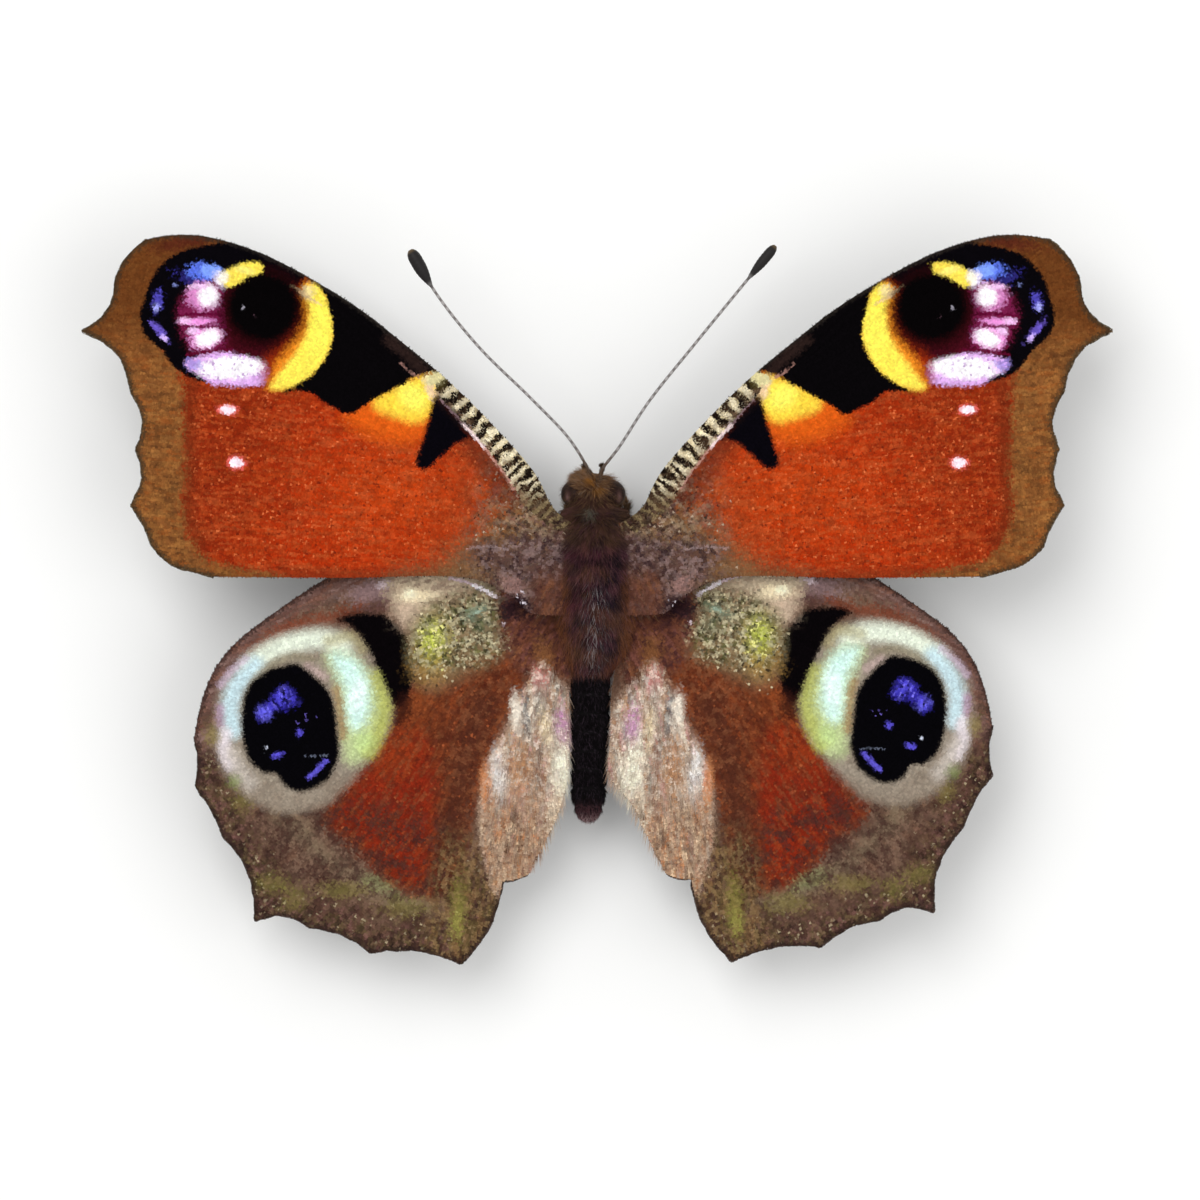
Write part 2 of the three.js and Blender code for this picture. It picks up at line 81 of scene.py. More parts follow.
# The fine wing
MEMBRANE = 0.12
VEIN_RISE = 0.07
VEIN_WIDTH = 0.14
VEIN_LOSS = 0.6  # of its rise, between these places outward
VEIN_FADE = (10, 28)
VEIN_STEPS = 120
CROSS_VEIN_STEPS = 20  # on the vein that closes the cell
ROOT_STEPS = 24
SAG = 0.09  # of the membrane between two veins
SAG_WIDTH = 0.8
SAG_FROM = 5  # outward from the body it is full

# The pale hairy field of the hindwing along the body
ANAL_FIELD = [
    (3.2, -3.8), (3.7, -4.2), (4.0, -4.9), (4.5, -6.0), (5.2, -7.5), (5.9, -8.8), (6.4, -10.1), (6.7, -12.3),
    (6.6, -14.6), (5.6, -17.5), (4.0, -17.4), (1.5, -14.5), (0.4, -10.0), (1.0, -6.4), (2.4, -4.7),
]

# The barred strip of the forewing's front edge: the line behind it, and how far apart its bars are
COSTAL_STRIP = [
    (9.5, 12.1), (9.17, 11.65), (8.4, 10.9), (7.75, 10.15), (6.58, 8.95), (5.58, 7.6), (4.9, 6.5), (4.0, 5.2),
    (2.4, 4.0),
]
BAR_AXIS = (0.62, 0.785)
BAR_COUNTS = ([3.0, 9.5, 14.5, 16.4], [-4.0, 7.6, 13.6, 15.4])  # bars passed by these places along the axis

COARSE = 1
SCALE = {
    "pitch": 0.107,  # at which the length and width hold, and grow with the pitch by this power
    "growth": 0.7,
    "length": 0.2,
    "width": 0.15,
    "shortest": 0.06,
    "strip_length": 0.62,  # shares of these on the barred strip
    "strip_width": 0.8,
    "lift": 0.035,
    "tilt": 0.016,
    "off_skin": 0.008,
    "root": 0.03,
}
UNDER_PITCH = 0.2
TUFT = {"root": 0.06, "root_width": 0.8, "painted_shading": (0.6, 0.6, 0.6, 1.12)}  # painted shade, darker at the root, and painted light, lighter at the tip
FRINGE = {"pitch": 0.028, "length": 0.14, "tuft": 0.5, "levels": (0.012, 0.022, 0.022, 0.012, -0.02)}
BUMP_DEPTH = 0.03 * MM
UV_PATCH = 0.003  # of a tuft or a scale on its skin's unwrap
UNWRAP_ROOM = 1.06
UNWRAP_EDGE = 0.02

# A wing's plan. A ray runs from the root, from a stem or from between the stems to the margin, which is
# hollowed by so much between it and the next ray. Stations along a ray count from 0 to STATIONS.
FOREWING = {
    "height": 6.3,
    "cell": 5,  # the station at which the stems end
    "stems": {
        "radius": (3.5, [(5.1, 6.7), (7.8, 10.0), (11.2, 13.2)]),
        "cubitus": (2.2, [(6.0, 5.2), (9.0, 7.4), (12.2, 9.8)]),
    },
    "rays": [
        {"root": 4.4, "through": [(2.6, 5.4), (3.8, 7.6), (6.37, 10.5), (8.8, 12.87), (10.9, 14.65)],
         "hollow": 0},
        {"root": 4.0, "through": [(4.4, 7.6), (7.7, 11.3), (13.1, 16.42)], "hollow": -0.06},
        {"stem": "radius", "leaves": 4, "through": [(12.8, 15.4), (16.2, 18.45)], "hollow": -0.06},
        {"stem": "radius", "leaves": 5, "through": [(15.2, 17.0), (19.5, 20.2)], "hollow": -0.1},
        {"branch": 6, "leaves": 7, "through": [(19.2, 19.1), (23.0, 21.25)], "hollow": -0.16},
        {"branch": 6, "leaves": 9, "through": [(24.4, 20.1), (26.3, 21.05)], "hollow": -0.25},
        {"stem": "radius", "leaves": 5, "through": [(17.0, 17.0), (23.4, 18.5), (28.1, 18.8)],
         "hollow": 0.58},
        {"stem": "radius", "leaves": 5, "through": [(17.5, 15.9), (23.4, 16.7), (30.0, 15.7)],
         "hollow": 0.72},
        {"across": 0.5, "leaves": 5, "through": [(17.5, 14.1), (22.9, 14.3), (27.15, 12.1)],
         "hollow": 0.5},
        {"stem": "cubitus", "leaves": 5, "through": [(17.0, 11.2), (21.5, 10.6), (26.9, 8.8)],
         "hollow": 0.48},
        {"stem": "cubitus", "leaves": 5, "through": [(17.0, 8.9), (21.5, 7.2), (27.2, 5.55)],
         "hollow": 0.12},
        {"stem": "cubitus", "leaves": 4, "through": [(14.2, 6.2), (20.0, 4.5), (26.0, 3.2)],
         "hollow": -0.3},
        {"root": 0.6, "through": [(6.0, 2.3), (14.0, 2.35), (23.7, 1.7)], "hollow": 0},
        {"root": -0.9, "through": [(3.9, -0.75), (5.1, 0.3), (8.0, 1.35), (15.0, 1.3), (22.4, 1.36)],
         "hollow": 0},
    ],
    "fan": (-2.0, 1.0),  # where the rows of scales fan out from
    "smooth_rays": 5,  # the front margin as far as this ray has no fringe
    "pitch": 0.109,  # between scales
    "lies_at": -28,  # degrees that turn the wing to lie along its unwrap
    "hairs": 900,
    "fringe": (92, 78, 60),
}

HINDWING = {
    "height": 5.1,
    "cell": 5,
    "stems": {
        "radius": (-0.6, [(6.0, -0.75), (10.4, -2.0)]),
        "cubitus": (-1.7, [(5.6, -3.5), (9.7, -6.0)]),
    },
    "rays": [
        {"root": 0.9, "through": [(5.5, 3.0), (10.0, 3.4), (14.3, 2.1)], "hollow": -0.1},
        {"root": 0.2, "through": [(7.5, 1.4), (13.5, 1.3), (18.85, -0.8)], "hollow": -1.12},
        {"stem": "radius", "leaves": 5, "through": [(17.0, -4.0), (23.42, -8.0)], "hollow": 0.2},
        {"stem": "radius", "leaves": 5, "through": [(16.6, -5.6), (23.35, -10.9)], "hollow": 0.14},
        {"across": 0.5, "leaves": 5, "through": [(16.3, -8.0), (21.7, -13.8)], "hollow": 0.62},
        {"stem": "cubitus", "leaves": 5, "through": [(15.3, -11.2), (19.9, -18.75)], "hollow": 0.5},
        {"stem": "cubitus", "leaves": 5, "through": [(13.4, -12.4), (16.7, -19.15)], "hollow": 0.3},
        {"stem": "cubitus", "leaves": 4, "through": [(10.9, -12.6), (13.2, -20.6)], "hollow": 0.42},
        {"root": -2.4, "through": [(5.4, -10.0), (7.95, -21.3)], "hollow": -0.5},
        {"root": -2.9, "through": [(3.9, -9.5), (5.55, -16.45)], "hollow": -0.1},
        {"root": -3.4, "along": [-5.6, -8.0, -10.2], "through": [(2.2, -12.2), (2.8, -13.6), (4.05, -16.1)],
         "hollow": 0},
    ],
    "fan": (0.0, 1.5),
    "smooth_rays": 2,
    "pitch": 0.116,
    "lies_at": 38,
    "hairs": 9000,
    "fringe": (74, 60, 54),
}

# Each wing's plan, its side, how far its outer part is turned forward, and how far it is stretched outward
WING_SETS = {
    "forewing_left": (FOREWING, -1, 0.0, 1.0),
    "forewing_right": (FOREWING, 1, 0.0, 1.0),
    "hindwing_left": (HINDWING, -1, 0.0, 1.008),
    "hindwing_right": (HINDWING, 1, 0.032, 0.984),
}

# The antennae from the socket in the head to the tip of the club, and the club's greatest radius
ANTENNAE = {
    "left": {
        "path": [(-0.42, 7.1, 6.0), (-0.5, 7.5, 6.05), (-1.6, 9.36, 6.5), (-3.8, 11.7, 6.9),
                 (-6.9, 14.75, 7.3), (-9.35, 17.8, 7.6), (-10.95, 20.45, 7.7)],
        "club": 0.4,
    },
    "right": {
        "path": [(0.2, 6.95, 6.02), (0.16, 7.4, 6.1), (1.3, 9.0, 6.5), (3.0, 11.6, 6.9), (5.8, 15.1, 7.3),
                 (8.5, 18.4, 7.6), (10.4, 20.7, 7.7)],
        "club": 0.3,
    },
}
FEELER_JOINTS = 38
CLUB_LENGTH = 2.5

# Legs on the right. A root is a place along the thorax and a turn from straight down. hair is how many
# tufts, how long and how far they stand off.
LEG_BEND = 0.6  # how far past a joint the leg lies straight again
LEG_SUNK = 0.2
LEGS = {
    "leg_fore": {
        "root": (3.7, 28), "knee": (1.75, 5.5, 2.6), "ankle": (1.4, 6.1, 1.15), "toe": (1.15, 4.8, 0.62),
        "thick": 0.24, "hair": (1100, 0.5, 0.35), "spines": 0,
    },
    "leg_mid": {
        "root": (1.9, 32), "knee": (4.9, 3.9, 4.0), "ankle": (6.9, 5.2, 0.36), "toe": (9.7, 6.7, 0.11),
        "thick": 0.29, "hair": (1200, 0.2, 0.16), "spines": 22,
    },
    "leg_hind": {
        "root": (-1.6, 32), "knee": (4.5, -3.9, 3.7), "ankle": (6.1, -6.7, 0.36), "toe": (7.3, -9.9, 0.11),
        "thick": 0.29, "hair": (1200, 0.2, 0.16), "spines": 22,
    },
}


# Small tools

def linear(red, green, blue):
    """A colour given as screen values of 0 to 255, as light."""
    c = np.array([red, green, blue], float) / 255
    return np.where(c <= 0.04045, c / 12.92, ((c + 0.055) / 1.055) ** 2.4)


def smoothstep(low, high, x):
    t = np.clip((x - low) / (high - low), 0, 1)
    return t * t * (3 - 2 * t)


def unit(v):
    return v / np.maximum(1e-9, np.linalg.norm(v, axis=-1, keepdims=True))


def varied(rng, size, least, more):
    """Random values from least to least + more."""
    return least + more * rng.random(size)


def jitter(rng, size, width):
    """Random values to either side of 0, over width in all."""
    return (rng.random(size) - 0.5) * width


class Noise:
    """Smooth random values of 0 to 1 over a plane."""

    SIZE = 256

    def __init__(self, seed):
        self.table = np.random.default_rng(seed).random((self.SIZE, self.SIZE))

    def __call__(self, x, y):
        i, j = np.floor(x).astype(int), np.floor(y).astype(int)
        u, v = x - i, y - j
        u, v = u * u * (3 - 2 * u), v * v * (3 - 2 * v)
        at = lambda a, b: self.table[(i + a) % self.SIZE, (j + b) % self.SIZE]
        low = at(0, 0) * (1 - u) + at(1, 0) * u
        high = at(0, 1) * (1 - u) + at(1, 1) * u
        return low * (1 - v) + high * v


def curve(a, b, v0, v1, t):
    """The place at t, of 0 to 1, on a cubic from a to b that sets off as v0 and ends as v1."""
    return (2 * a - 2 * b + v0 + v1) * t**3 + (3 * b - 3 * a - 2 * v0 - v1) * t**2 + v0 * t + a


class Path:
    """A smooth path through points, each place on it found by its share of the length.

    An eased path allows for points at uneven distances, so that it doesn't swing out at a bend.
    """

    def __init__(self, points, samples=200, eased=False):
        p = np.array(points, float)
        first, last = (2 * p[0] - p[1], 2 * p[-1] - p[-2]) if eased else (p[0], p[-1])
        p = np.concatenate([[first], p, [last]])
        t = np.linspace(0, len(p) - 3, samples + 1)
        i = np.minimum(t.astype(int), len(p) - 4)
        w = (t - i)[:, None]
        before, a, b, after = p[i], p[i + 1], p[i + 2], p[i + 3]
        if eased:
            steps = (a - before, b - a, after - b)
            d0, d1, d2 = (np.linalg.norm(step, axis=1, keepdims=True) ** 0.5 for step in steps)
            v0 = ((a - before) / d0 - (b - before) / (d0 + d1) + (b - a) / d1) * d1
            v1 = ((b - a) / d1 - (after - a) / (d1 + d2) + (after - b) / d2) * d1
        else:
            v0, v1 = (b - before) / 2, (after - a) / 2
        self.points = curve(a, b, v0, v1, w)
        run = np.linalg.norm(np.diff(self.points, axis=0), axis=1)
        self.lengths = np.concatenate([[0], np.cumsum(run)])

    def at(self, share):
        s = np.clip(share, 0, 1) * self.lengths[-1]
        return np.stack([np.interp(s, self.lengths, c) for c in self.points.T], -1)


def inside(points, outline):
    """Which points lie within a closed outline."""
    x, y = points[:, 0], points[:, 1]
    found = np.zeros(len(points), bool)
    for (ax, ay), (bx, by) in zip(outline, np.roll(outline, -1, 0)):
        if ay == by:
            continue
        crosses = ((ay > y) != (by > y)) & (x < (bx - ax) * (y - ay) / (by - ay) + ax)
        found ^= crosses
    return found


def distance(points, line):
    """How far points are from a line of straight pieces."""
    best = np.full(len(points), np.inf)
    for a, b in zip(line[:-1], line[1:]):
        along = b - a
        t = np.clip((points - a) @ along / max(1e-12, along @ along), 0, 1)
        best = np.minimum(best, np.hypot(*(points - a - t[:, None] * along).T))
    return best


# Wing shape

thorax_side = Path(THORAX["widths"]).points


def thorax_half_width(y):
    return np.interp(-np.asarray(y, float), -thorax_side[:, 1], thorax_side[:, 0])


def beside_thorax(plan, y, side):
    half = SOLID_THICKNESS / 2 + SOLID_VEIN_RISE
    widest = min(max(THORAX["z"], plan["height"] - half), plan["height"] + half)
    width = thorax_half_width(y)
    up = (widest - THORAX["z"]) / (width * THORAX["tall"])
    return width * np.sqrt(np.maximum(0, 1 - up * up)) + side * THORAX["x"] + ROOT_GAP


def beside_abdomen(y, side):
    along = (ABDOMEN["front"] - y) / (ABDOMEN["front"] - ABDOMEN["back"])
    middle = ABDOMEN["x_front"] + (ABDOMEN["x_back"] - ABDOMEN["x_front"]) * along
    return ABDOMEN["half_width"] + side * middle + EDGE_GAP


def wing_rays(plan, side):
    """For each ray of a wing, a function from stations, 0 at the root and 12 at the margin, to points."""
    stems = {
        name: Path([(beside_thorax(plan, root, side), root), *through])
        for name, (root, through) in plan["stems"].items()
    }
    cell = plan["cell"]

    def on_stem(ray, i):
        if "stem" in ray:
            return stems[ray["stem"]].at(i / cell)
        share = ray["across"]
        return stems["radius"].at(i / cell) * (1 - share) + stems["cubitus"].at(i / cell) * share

    def make(k):
        ray = plan["rays"][k]
        if "root" in ray:
            along = [(beside_abdomen(y, side), y) for y in ray.get("along", ())]
            whole = Path([(beside_thorax(plan, ray["root"], side), ray["root"]), *along, *ray["through"]])
            return lambda i: whole.at(i / STATIONS)
        leaves = ray["leaves"]
        stem = make(ray["branch"]) if "branch" in ray else (lambda i: on_stem(ray, i))
        own = Path([stem(np.array([float(leaves)]))[0], *ray["through"]])

        def at(i):
            late = own.at((i - leaves) / (STATIONS - leaves))
            return np.where((i <= leaves)[:, None], stem(np.minimum(i, leaves)), late)

        return at

    return [make(k) for k in range(len(plan["rays"]))]


class Wing:
    """The plan, height and veins of one wing."""

    def __init__(self, name):
        self.name = name
        self.plan, self.side, self.lift, self.spread = WING_SETS[name]
        self.rays = wing_rays(self.plan, self.side)
        stations = np.linspace(0, STATIONS, VEIN_STEPS + 1)
        lines = [ray(stations) for ray in self.rays]
        homes = [line[0] for line in lines]
        self.margin = self.margin_line(homes, [line[-1] for line in lines])
        root = np.linspace(homes[-1][1], homes[0][1], ROOT_STEPS)
        root_line = np.stack([beside_thorax(self.plan, root, self.side), root], 1)
        self.outline = np.concatenate([lines[0], self.margin[1:], lines[-1][::-1][1:], root_line[1:-1]])
        self.veins = []
        for spec, line in zip(self.plan["rays"], lines):
            first = 0 if "across" not in spec else int(len(stations) * spec["leaves"] / STATIONS)
            self.veins.append(line[first:])
        upper, lower = (np.array(self.plan["stems"][stem][1][-1]) for stem in ("radius", "cubitus"))
        self.veins.append(np.linspace(upper, lower, CROSS_VEIN_STEPS))
        self.tree = KDTree(sum(len(v) for v in self.veins))
        self.vein_share = []
        for line in self.veins:
            for k, p in enumerate(line):
                self.tree.insert((p[0], p[1], 0), len(self.vein_share))
                self.vein_share.append(k / len(line))
        self.tree.balance()
        self.vein_share = np.array(self.vein_share)
        self.body_side = float(thorax_half_width(0)) + GAP
        self.level = float(thorax_half_width(1))

    def margin_line(self, homes, tips):
        """The outer margin from ray to ray, hollowed between two of them where the plan says so."""
        line = [tips[0]]
        for k in range(len(tips) - 1):
            a, b = tips[k], tips[k + 1]
            inward = unit(np.array([b[1] - a[1], a[0] - b[0]]))
            if inward @ (homes[k] - a) < 0:
                inward = -inward
            for share in np.linspace(0, 1, MARGIN_STEPS + 1)[1:]:
                draw = self.plan["rays"][k]["hollow"] * math.sin(math.pi * share)
                line.append(a + (b - a) * share + inward * draw)
        return np.array(line)

    def nearest_vein(self, p):
        found = [self.tree.find((x, y, 0)) for x, y in p]
        away = np.array([f[2] for f in found])
        return away, self.vein_share[np.array([f[1] for f in found])]

    def levels(self, p, away=None):
        """The heights of the wing's middle and of half its thickness at places of its plan."""
        if away is None:
            away, _ = self.nearest_vein(p)
        x = self.placed(p)[:, 0] * self.side
        out = np.maximum(0, x - self.level)
        middle = self.plan["height"] + WING_RISE * out - WING_CAMBER * out * out
        dip = SAG * (1 - np.exp(-((away / SAG_WIDTH) ** 2))) * smoothstep(0, SAG_FROM, out)
        ridge = VEIN_RISE * np.exp(-((away / VEIN_WIDTH) ** 2))
        ridge = ridge * (1 - VEIN_LOSS * smoothstep(*VEIN_FADE, out))
        return middle - dip, MEMBRANE / 2 + ridge

    def placed(self, p):
        """From the wing's plan to where it is on the insect, seen from above."""
        out = np.maximum(0, p[:, 0] - self.body_side)
        return np.stack([self.side * (p[:, 0] + (self.spread - 1) * out), p[:, 1] + self.lift * out], 1)

    def surface(self, p, face):
        """Places on the wing's upper (face 1) or lower (face -1) side."""
        middle, half = self.levels(p)
        return np.column_stack([self.placed(p), middle + face * half])

    def unwrap(self, p):
        """The wing laid out flat in a unit square, turned to lie along its own length."""
        turn = math.radians(self.plan["lies_at"])
        c, s = math.cos(turn), math.sin(turn)
        turned = lambda q: (q[:, 0] * c - q[:, 1] * s, q[:, 0] * s + q[:, 1] * c)
        u, v = turned(p)
        edge_u, edge_v = turned(self.outline)
        size = max(np.ptp(edge_u), np.ptp(edge_v)) * UNWRAP_ROOM
        return np.stack([(u - edge_u.min()) / size, (v - edge_v.min()) / size], 1) + UNWRAP_EDGE

    def outward(self, p):
        """The way the scales point, as directions of the plan."""
        return unit(p - np.array(self.plan["fan"]))

    def lattice(self, pitch, seed):
        """Places for scales, in rows that fan out from the body."""
        rng = np.random.default_rng(seed)
        fan = np.array(self.plan["fan"])
        offset = self.outline - fan
        reach = np.hypot(*offset.T)
        angle = np.unwrap(np.arctan2(offset[:, 1], offset[:, 0]))
        rows = []
        for r in np.arange(reach.min(), reach.max(), pitch):
            n = int((angle.max() - angle.min()) * r / pitch)
            steps = np.arange(n) + rng.random() + jitter(rng, n, 0.7)
            a = angle.min() + steps * pitch / max(r, 1e-6)
            away = r + jitter(rng, n, pitch) * 0.8
            rows.append(np.stack([fan[0] + away * np.cos(a), fan[1] + away * np.sin(a)], 1))
        p = np.concatenate(rows)
        return p[inside(p, self.outline)]


# Painting: the same markings go on a wing's membrane and on its scales

class Canvas:
    """Colours for many places of a wing's plan.

    A stroke's places and sizes are in millimetres of the plan and its colour is as on a screen. Its last
    numbers are how soft and how ragged its edge is and how much of the colour it lays on.
    """

    def __init__(self, p, ground, seed, grain=True):
        self.p = p
        self.rng = np.random.default_rng(seed)
        self.grain = self.rng.random(len(p)) - 0.5 if grain else np.zeros(len(p))
        self.noise = Noise(seed + 1)
        self.colour = np.tile(linear(*ground), (len(p), 1))

    def lay(self, mask, colour):
        """Colour laid over what is there, as far as the mask of 0 to 1 says."""
        m = np.clip(mask, 0, 1)[:, None]
        self.colour = self.colour * (1 - m) + linear(*colour) * m

    def wander(self, size, amount):
        """Small shifts that make an edge uneven."""
        return (self.noise(self.p[:, 0] / size, self.p[:, 1] / size) - 0.5) * 2 * amount

    def depth(self, outline, reach):
        """How far places lie inside a smooth closed outline, negative outside it."""
        ring = np.array(outline, float)
        ring = np.concatenate([ring[-1:], ring, ring[:2]])
        line = []
        for before, a, b, after in zip(ring[:-3], ring[1:-2], ring[2:-1], ring[3:]):
            for w in (0, 0.25, 0.5, 0.75):
                line.append(curve(a, b, (b - before) / 2, (after - a) / 2, w))
        line = np.array(line)
        low, high = line.min(0) - reach, line.max(0) + reach
        near = ((self.p > low) & (self.p < high)).all(1)
        depth = np.full(len(self.p), -1e3)
        if near.any():
            p = self.p[near]
            away = distance(p, np.concatenate([line, line[:1]]))
            depth[near] = np.where(inside(p, line), away, -away)
        return depth

    def blot(self, outline, colour, soft=0.08, ragged=0.12, strength=1.0):
        """A patch within a smooth closed outline."""
        depth = self.depth(outline, soft + ragged + 0.3)
        depth = depth + self.grain * 2 * ragged + self.wander(0.35, ragged * 0.5)
        self.lay(smoothstep(-soft, soft, depth) * strength, colour)

    def spot(self, centre, half, colour, turn=0.0, soft=0.3, ragged=0.2, strength=1.0):
        """An oval. soft and ragged are shares of its size."""
        c, s = math.cos(math.radians(turn)), math.sin(math.radians(turn))
        d = self.p - np.array(centre)
        u, v = (d[:, 0] * c + d[:, 1] * s) / half[0], (d[:, 1] * c - d[:, 0] * s) / half[1]
        r = np.hypot(u, v) + self.grain * 2 * ragged + self.wander(0.3, ragged * 0.5)
        self.lay((1 - smoothstep(1 - soft, 1 + soft, r)) * strength, colour)

    def line(self, points, width, colour, soft=0.5, ragged=0.2, strength=1.0):
        """A smooth line, width to either side of its points."""
        away = distance(self.p, Path(points, 40).points) / width + self.grain * 2 * ragged
        self.lay((1 - smoothstep(1 - soft, 1 + soft, away)) * strength, colour)

    def mottle(self, mask, size, colour, strength, shift=0):
        """Soft blotches of about one size."""
        x, y = self.p.T / size
        wave = 0.65 * self.noise(x + shift, y) + 0.35 * self.noise(2.3 * x, 2.3 * y + shift)
        wave = wave + self.grain * 0.2
        self.lay(mask * strength * smoothstep(0.45, 0.75, wave), colour)

    def mottles(self, mask, first, step, *each):
        """Several mottles, each a size, a colour and a strength, shifted so that they differ."""
        for k, (size, colour, strength) in enumerate(each):
            self.mottle(mask, size, colour, strength, first + step * k)

    def specks(self, mask, colour, share):
        """Single places in a region, picked at random."""
        picked = self.rng.random(len(self.p)) < share * np.clip(mask, 0, 1)
        self.lay(picked * (0.25 + 0.6 * self.rng.random(len(self.p))), colour)

    def streaks(self, mask, colours, turn, long, wide, strength):
        """Fine lines that lie one way, each of one of the colours."""
        c, s = math.cos(math.radians(turn)), math.sin(math.radians(turn))
        u, v = self.p[:, 0] * c + self.p[:, 1] * s, self.p[:, 1] * c - self.p[:, 0] * s
        for k, colour in enumerate(colours):
            wave = self.noise(u / long + 17.3 * k, v / wide + 31.7 * k) + self.grain * 0.25
            self.lay(mask * strength * smoothstep(0.55, 0.85, wave), colour)


def paint_forewing(c, wing):
    """Brick red, with a dusted base, a brown margin, black and yellow blotches and the eyespot at the tip."""
    p = c.p
    x, y = p.T
    everywhere = np.ones(len(p))
    c.lay(0.75 * smoothstep(14, 22.5, x + 0.35 * (y - 8)), (128, 38, 14))
    c.lay(0.7 * np.exp(-(((x - 12) / 3.5) ** 2 + ((y - 6.5) / 2.5) ** 2)), (200, 70, 18))
    c.streaks(everywhere, [(196, 78, 28), (126, 34, 12), (206, 104, 54), (140, 62, 26)], 3, 0.8, 0.13, 0.3)
    c.mottle(everywhere, 0.5, (118, 36, 16), 0.3)
    c.mottle(everywhere, 0.22, (204, 88, 40), 0.3, 60)
    c.specks(everywhere, (220, 112, 62), 0.035)
    c.specks(everywhere, (112, 34, 16), 0.04)
    c.lay(0.5 * (1 - smoothstep(6.5, 12.5, x + 0.3 * y)), (150, 78, 36))
    c.lay(0.6 * (1 - smoothstep(1.5, 2.2, y)) * smoothstep(5, 9, x), (120, 48, 24))
    # The dusted base
    base = [(1.5, 7.5), (3.9, 6.9), (5.6, 5.4), (7.3, 3.6), (9.6, 1.9), (11.5, 0.8), (1.5, -2.5)]
    c.blot(base, (126, 90, 58), 1.3, 0.4)
    c.blot([(1.5, 6.0), (3.4, 4.7), (4.5, 3.0), (5.8, 1.7), (7.4, 0.7), (1.5, -2.5)], (84, 58, 48), 1.0,
           0.4)
    dusted = 1 - smoothstep(5.0, 9.5, x + 0.2 * y)
    c.mottles(dusted, 0, 40, (0.6, (60, 44, 42), 0.75), (0.5, (150, 118, 84), 0.6), (0.3, (132, 98, 92), 0.6),
              (0.26, (44, 32, 32), 0.75), (0.24, (170, 146, 118), 0.5))
    c.specks(dusted, (190, 170, 146), 0.05)
    c.specks(dusted, (44, 30, 28), 0.08)
    # Darker and more purple towards the hind margin, with a pale patch and a black one; the black patch is
    # painted shade where this edge lies over the hindwing
    low = [(7.0, 3.1), (6.8, 2.0), (5.9, 1.0), (5.5, 0.0), (5.4, -1.6), (1.0, -1.6), (1.0, 3.2), (4.0, 3.5)]
    c.blot(low, (88, 62, 58), 0.8, 0.3, 0.8)
    in_low = smoothstep(-0.3, 0.3, c.depth(low, 0.5))
    c.mottles(in_low, 200, 40, (0.3, (40, 28, 34), 0.7), (0.24, (156, 130, 126), 0.5))
    near_body = smoothstep(4.2, 3.2, x) * smoothstep(2.2, 0.8, y)
    c.lay(near_body * 0.75, (96, 57, 42))
    c.streaks(near_body, [(128, 80, 54), (62, 34, 32), (108, 68, 56)], -70, 0.7, 0.16, 0.6)
    c.spot((4.9, 0.85), (0.6, 0.4), (164, 126, 118), 30, 0.8, 0.6, 0.7)
    # Painted shade: a black patch at the hind edge by the root, where the forewing lies over the hindwing
    c.spot((4.7, -0.3), (0.8, 0.5), (34, 20, 28), 0, 0.7, 0.4, 0.9)
    c.specks(np.exp(-(((x - 4.7) / 0.7) ** 2 + ((y + 0.3) / 0.6) ** 2)), (236, 226, 236), 0.1)
    c.line([(7.6, 3.0), (6.4, 3.1), (5.2, 2.95)], 0.07, (170, 146, 144), 0.6, 0.5, 0.5)
    # The band along the outer margin
    band = [(20.6, 22), (22.0, 20.6), (24.2, 19.6), (25.4, 18.2), (25.6, 16.3), (25.2, 14.9), (24.5, 13.7),
            (24.2, 12.4), (24.15, 10.5), (24.0, 7.5), (24.2, 5.0), (23.6, 3.3), (22.2, 2.1), (19.0, 1.45),
            (17.5, 0.4), (26, -1), (33, 3), (33, 22), (25, 24)]
    c.blot(band, (132, 82, 42), 0.3, 0.25)
    in_band = smoothstep(-0.4, 0.4, c.depth(band, 0.5))
    c.streaks(in_band, [(168, 114, 60), (84, 50, 28), (148, 80, 34)], 4, 0.6, 0.14, 0.6)
    c.mottle(in_band, 0.8, (90, 56, 30), 0.45)
    c.mottle(in_band, 0.25, (170, 112, 56), 0.4, 50)
    c.lay(in_band * 0.8 * smoothstep(13.0, 17.5, y), (100, 54, 22))
    c.spot((23.5, 21.1), (2.2, 0.5), (84, 32, 22), -12, 0.6, 0.3, 0.8)
    c.line([(23.6, 13.0), (23.8, 10.0), (23.75, 7.0), (23.9, 5.0), (23.2, 3.4)], 0.34, (112, 42, 18), 0.9,
           0.3, 0.6)
    rim = 1 - smoothstep(0.05, 0.36, distance(p, wing.margin) + c.grain * 0.2)
    c.lay(rim * 0.75, (60, 52, 38))
    # The dark line of the front edge
    costa = 1 - smoothstep(0.04, 0.24, distance(p, wing.rays[0](np.linspace(7, 12, 40))) + c.grain * 0.12)
    edge = 1 - smoothstep(0.04, 0.26, distance(p, wing.margin[:60]) + c.grain * 0.12)
    front_rim = np.maximum(costa, edge * (1 - smoothstep(20, 24.5, x)))
    paint_eyespot(c)
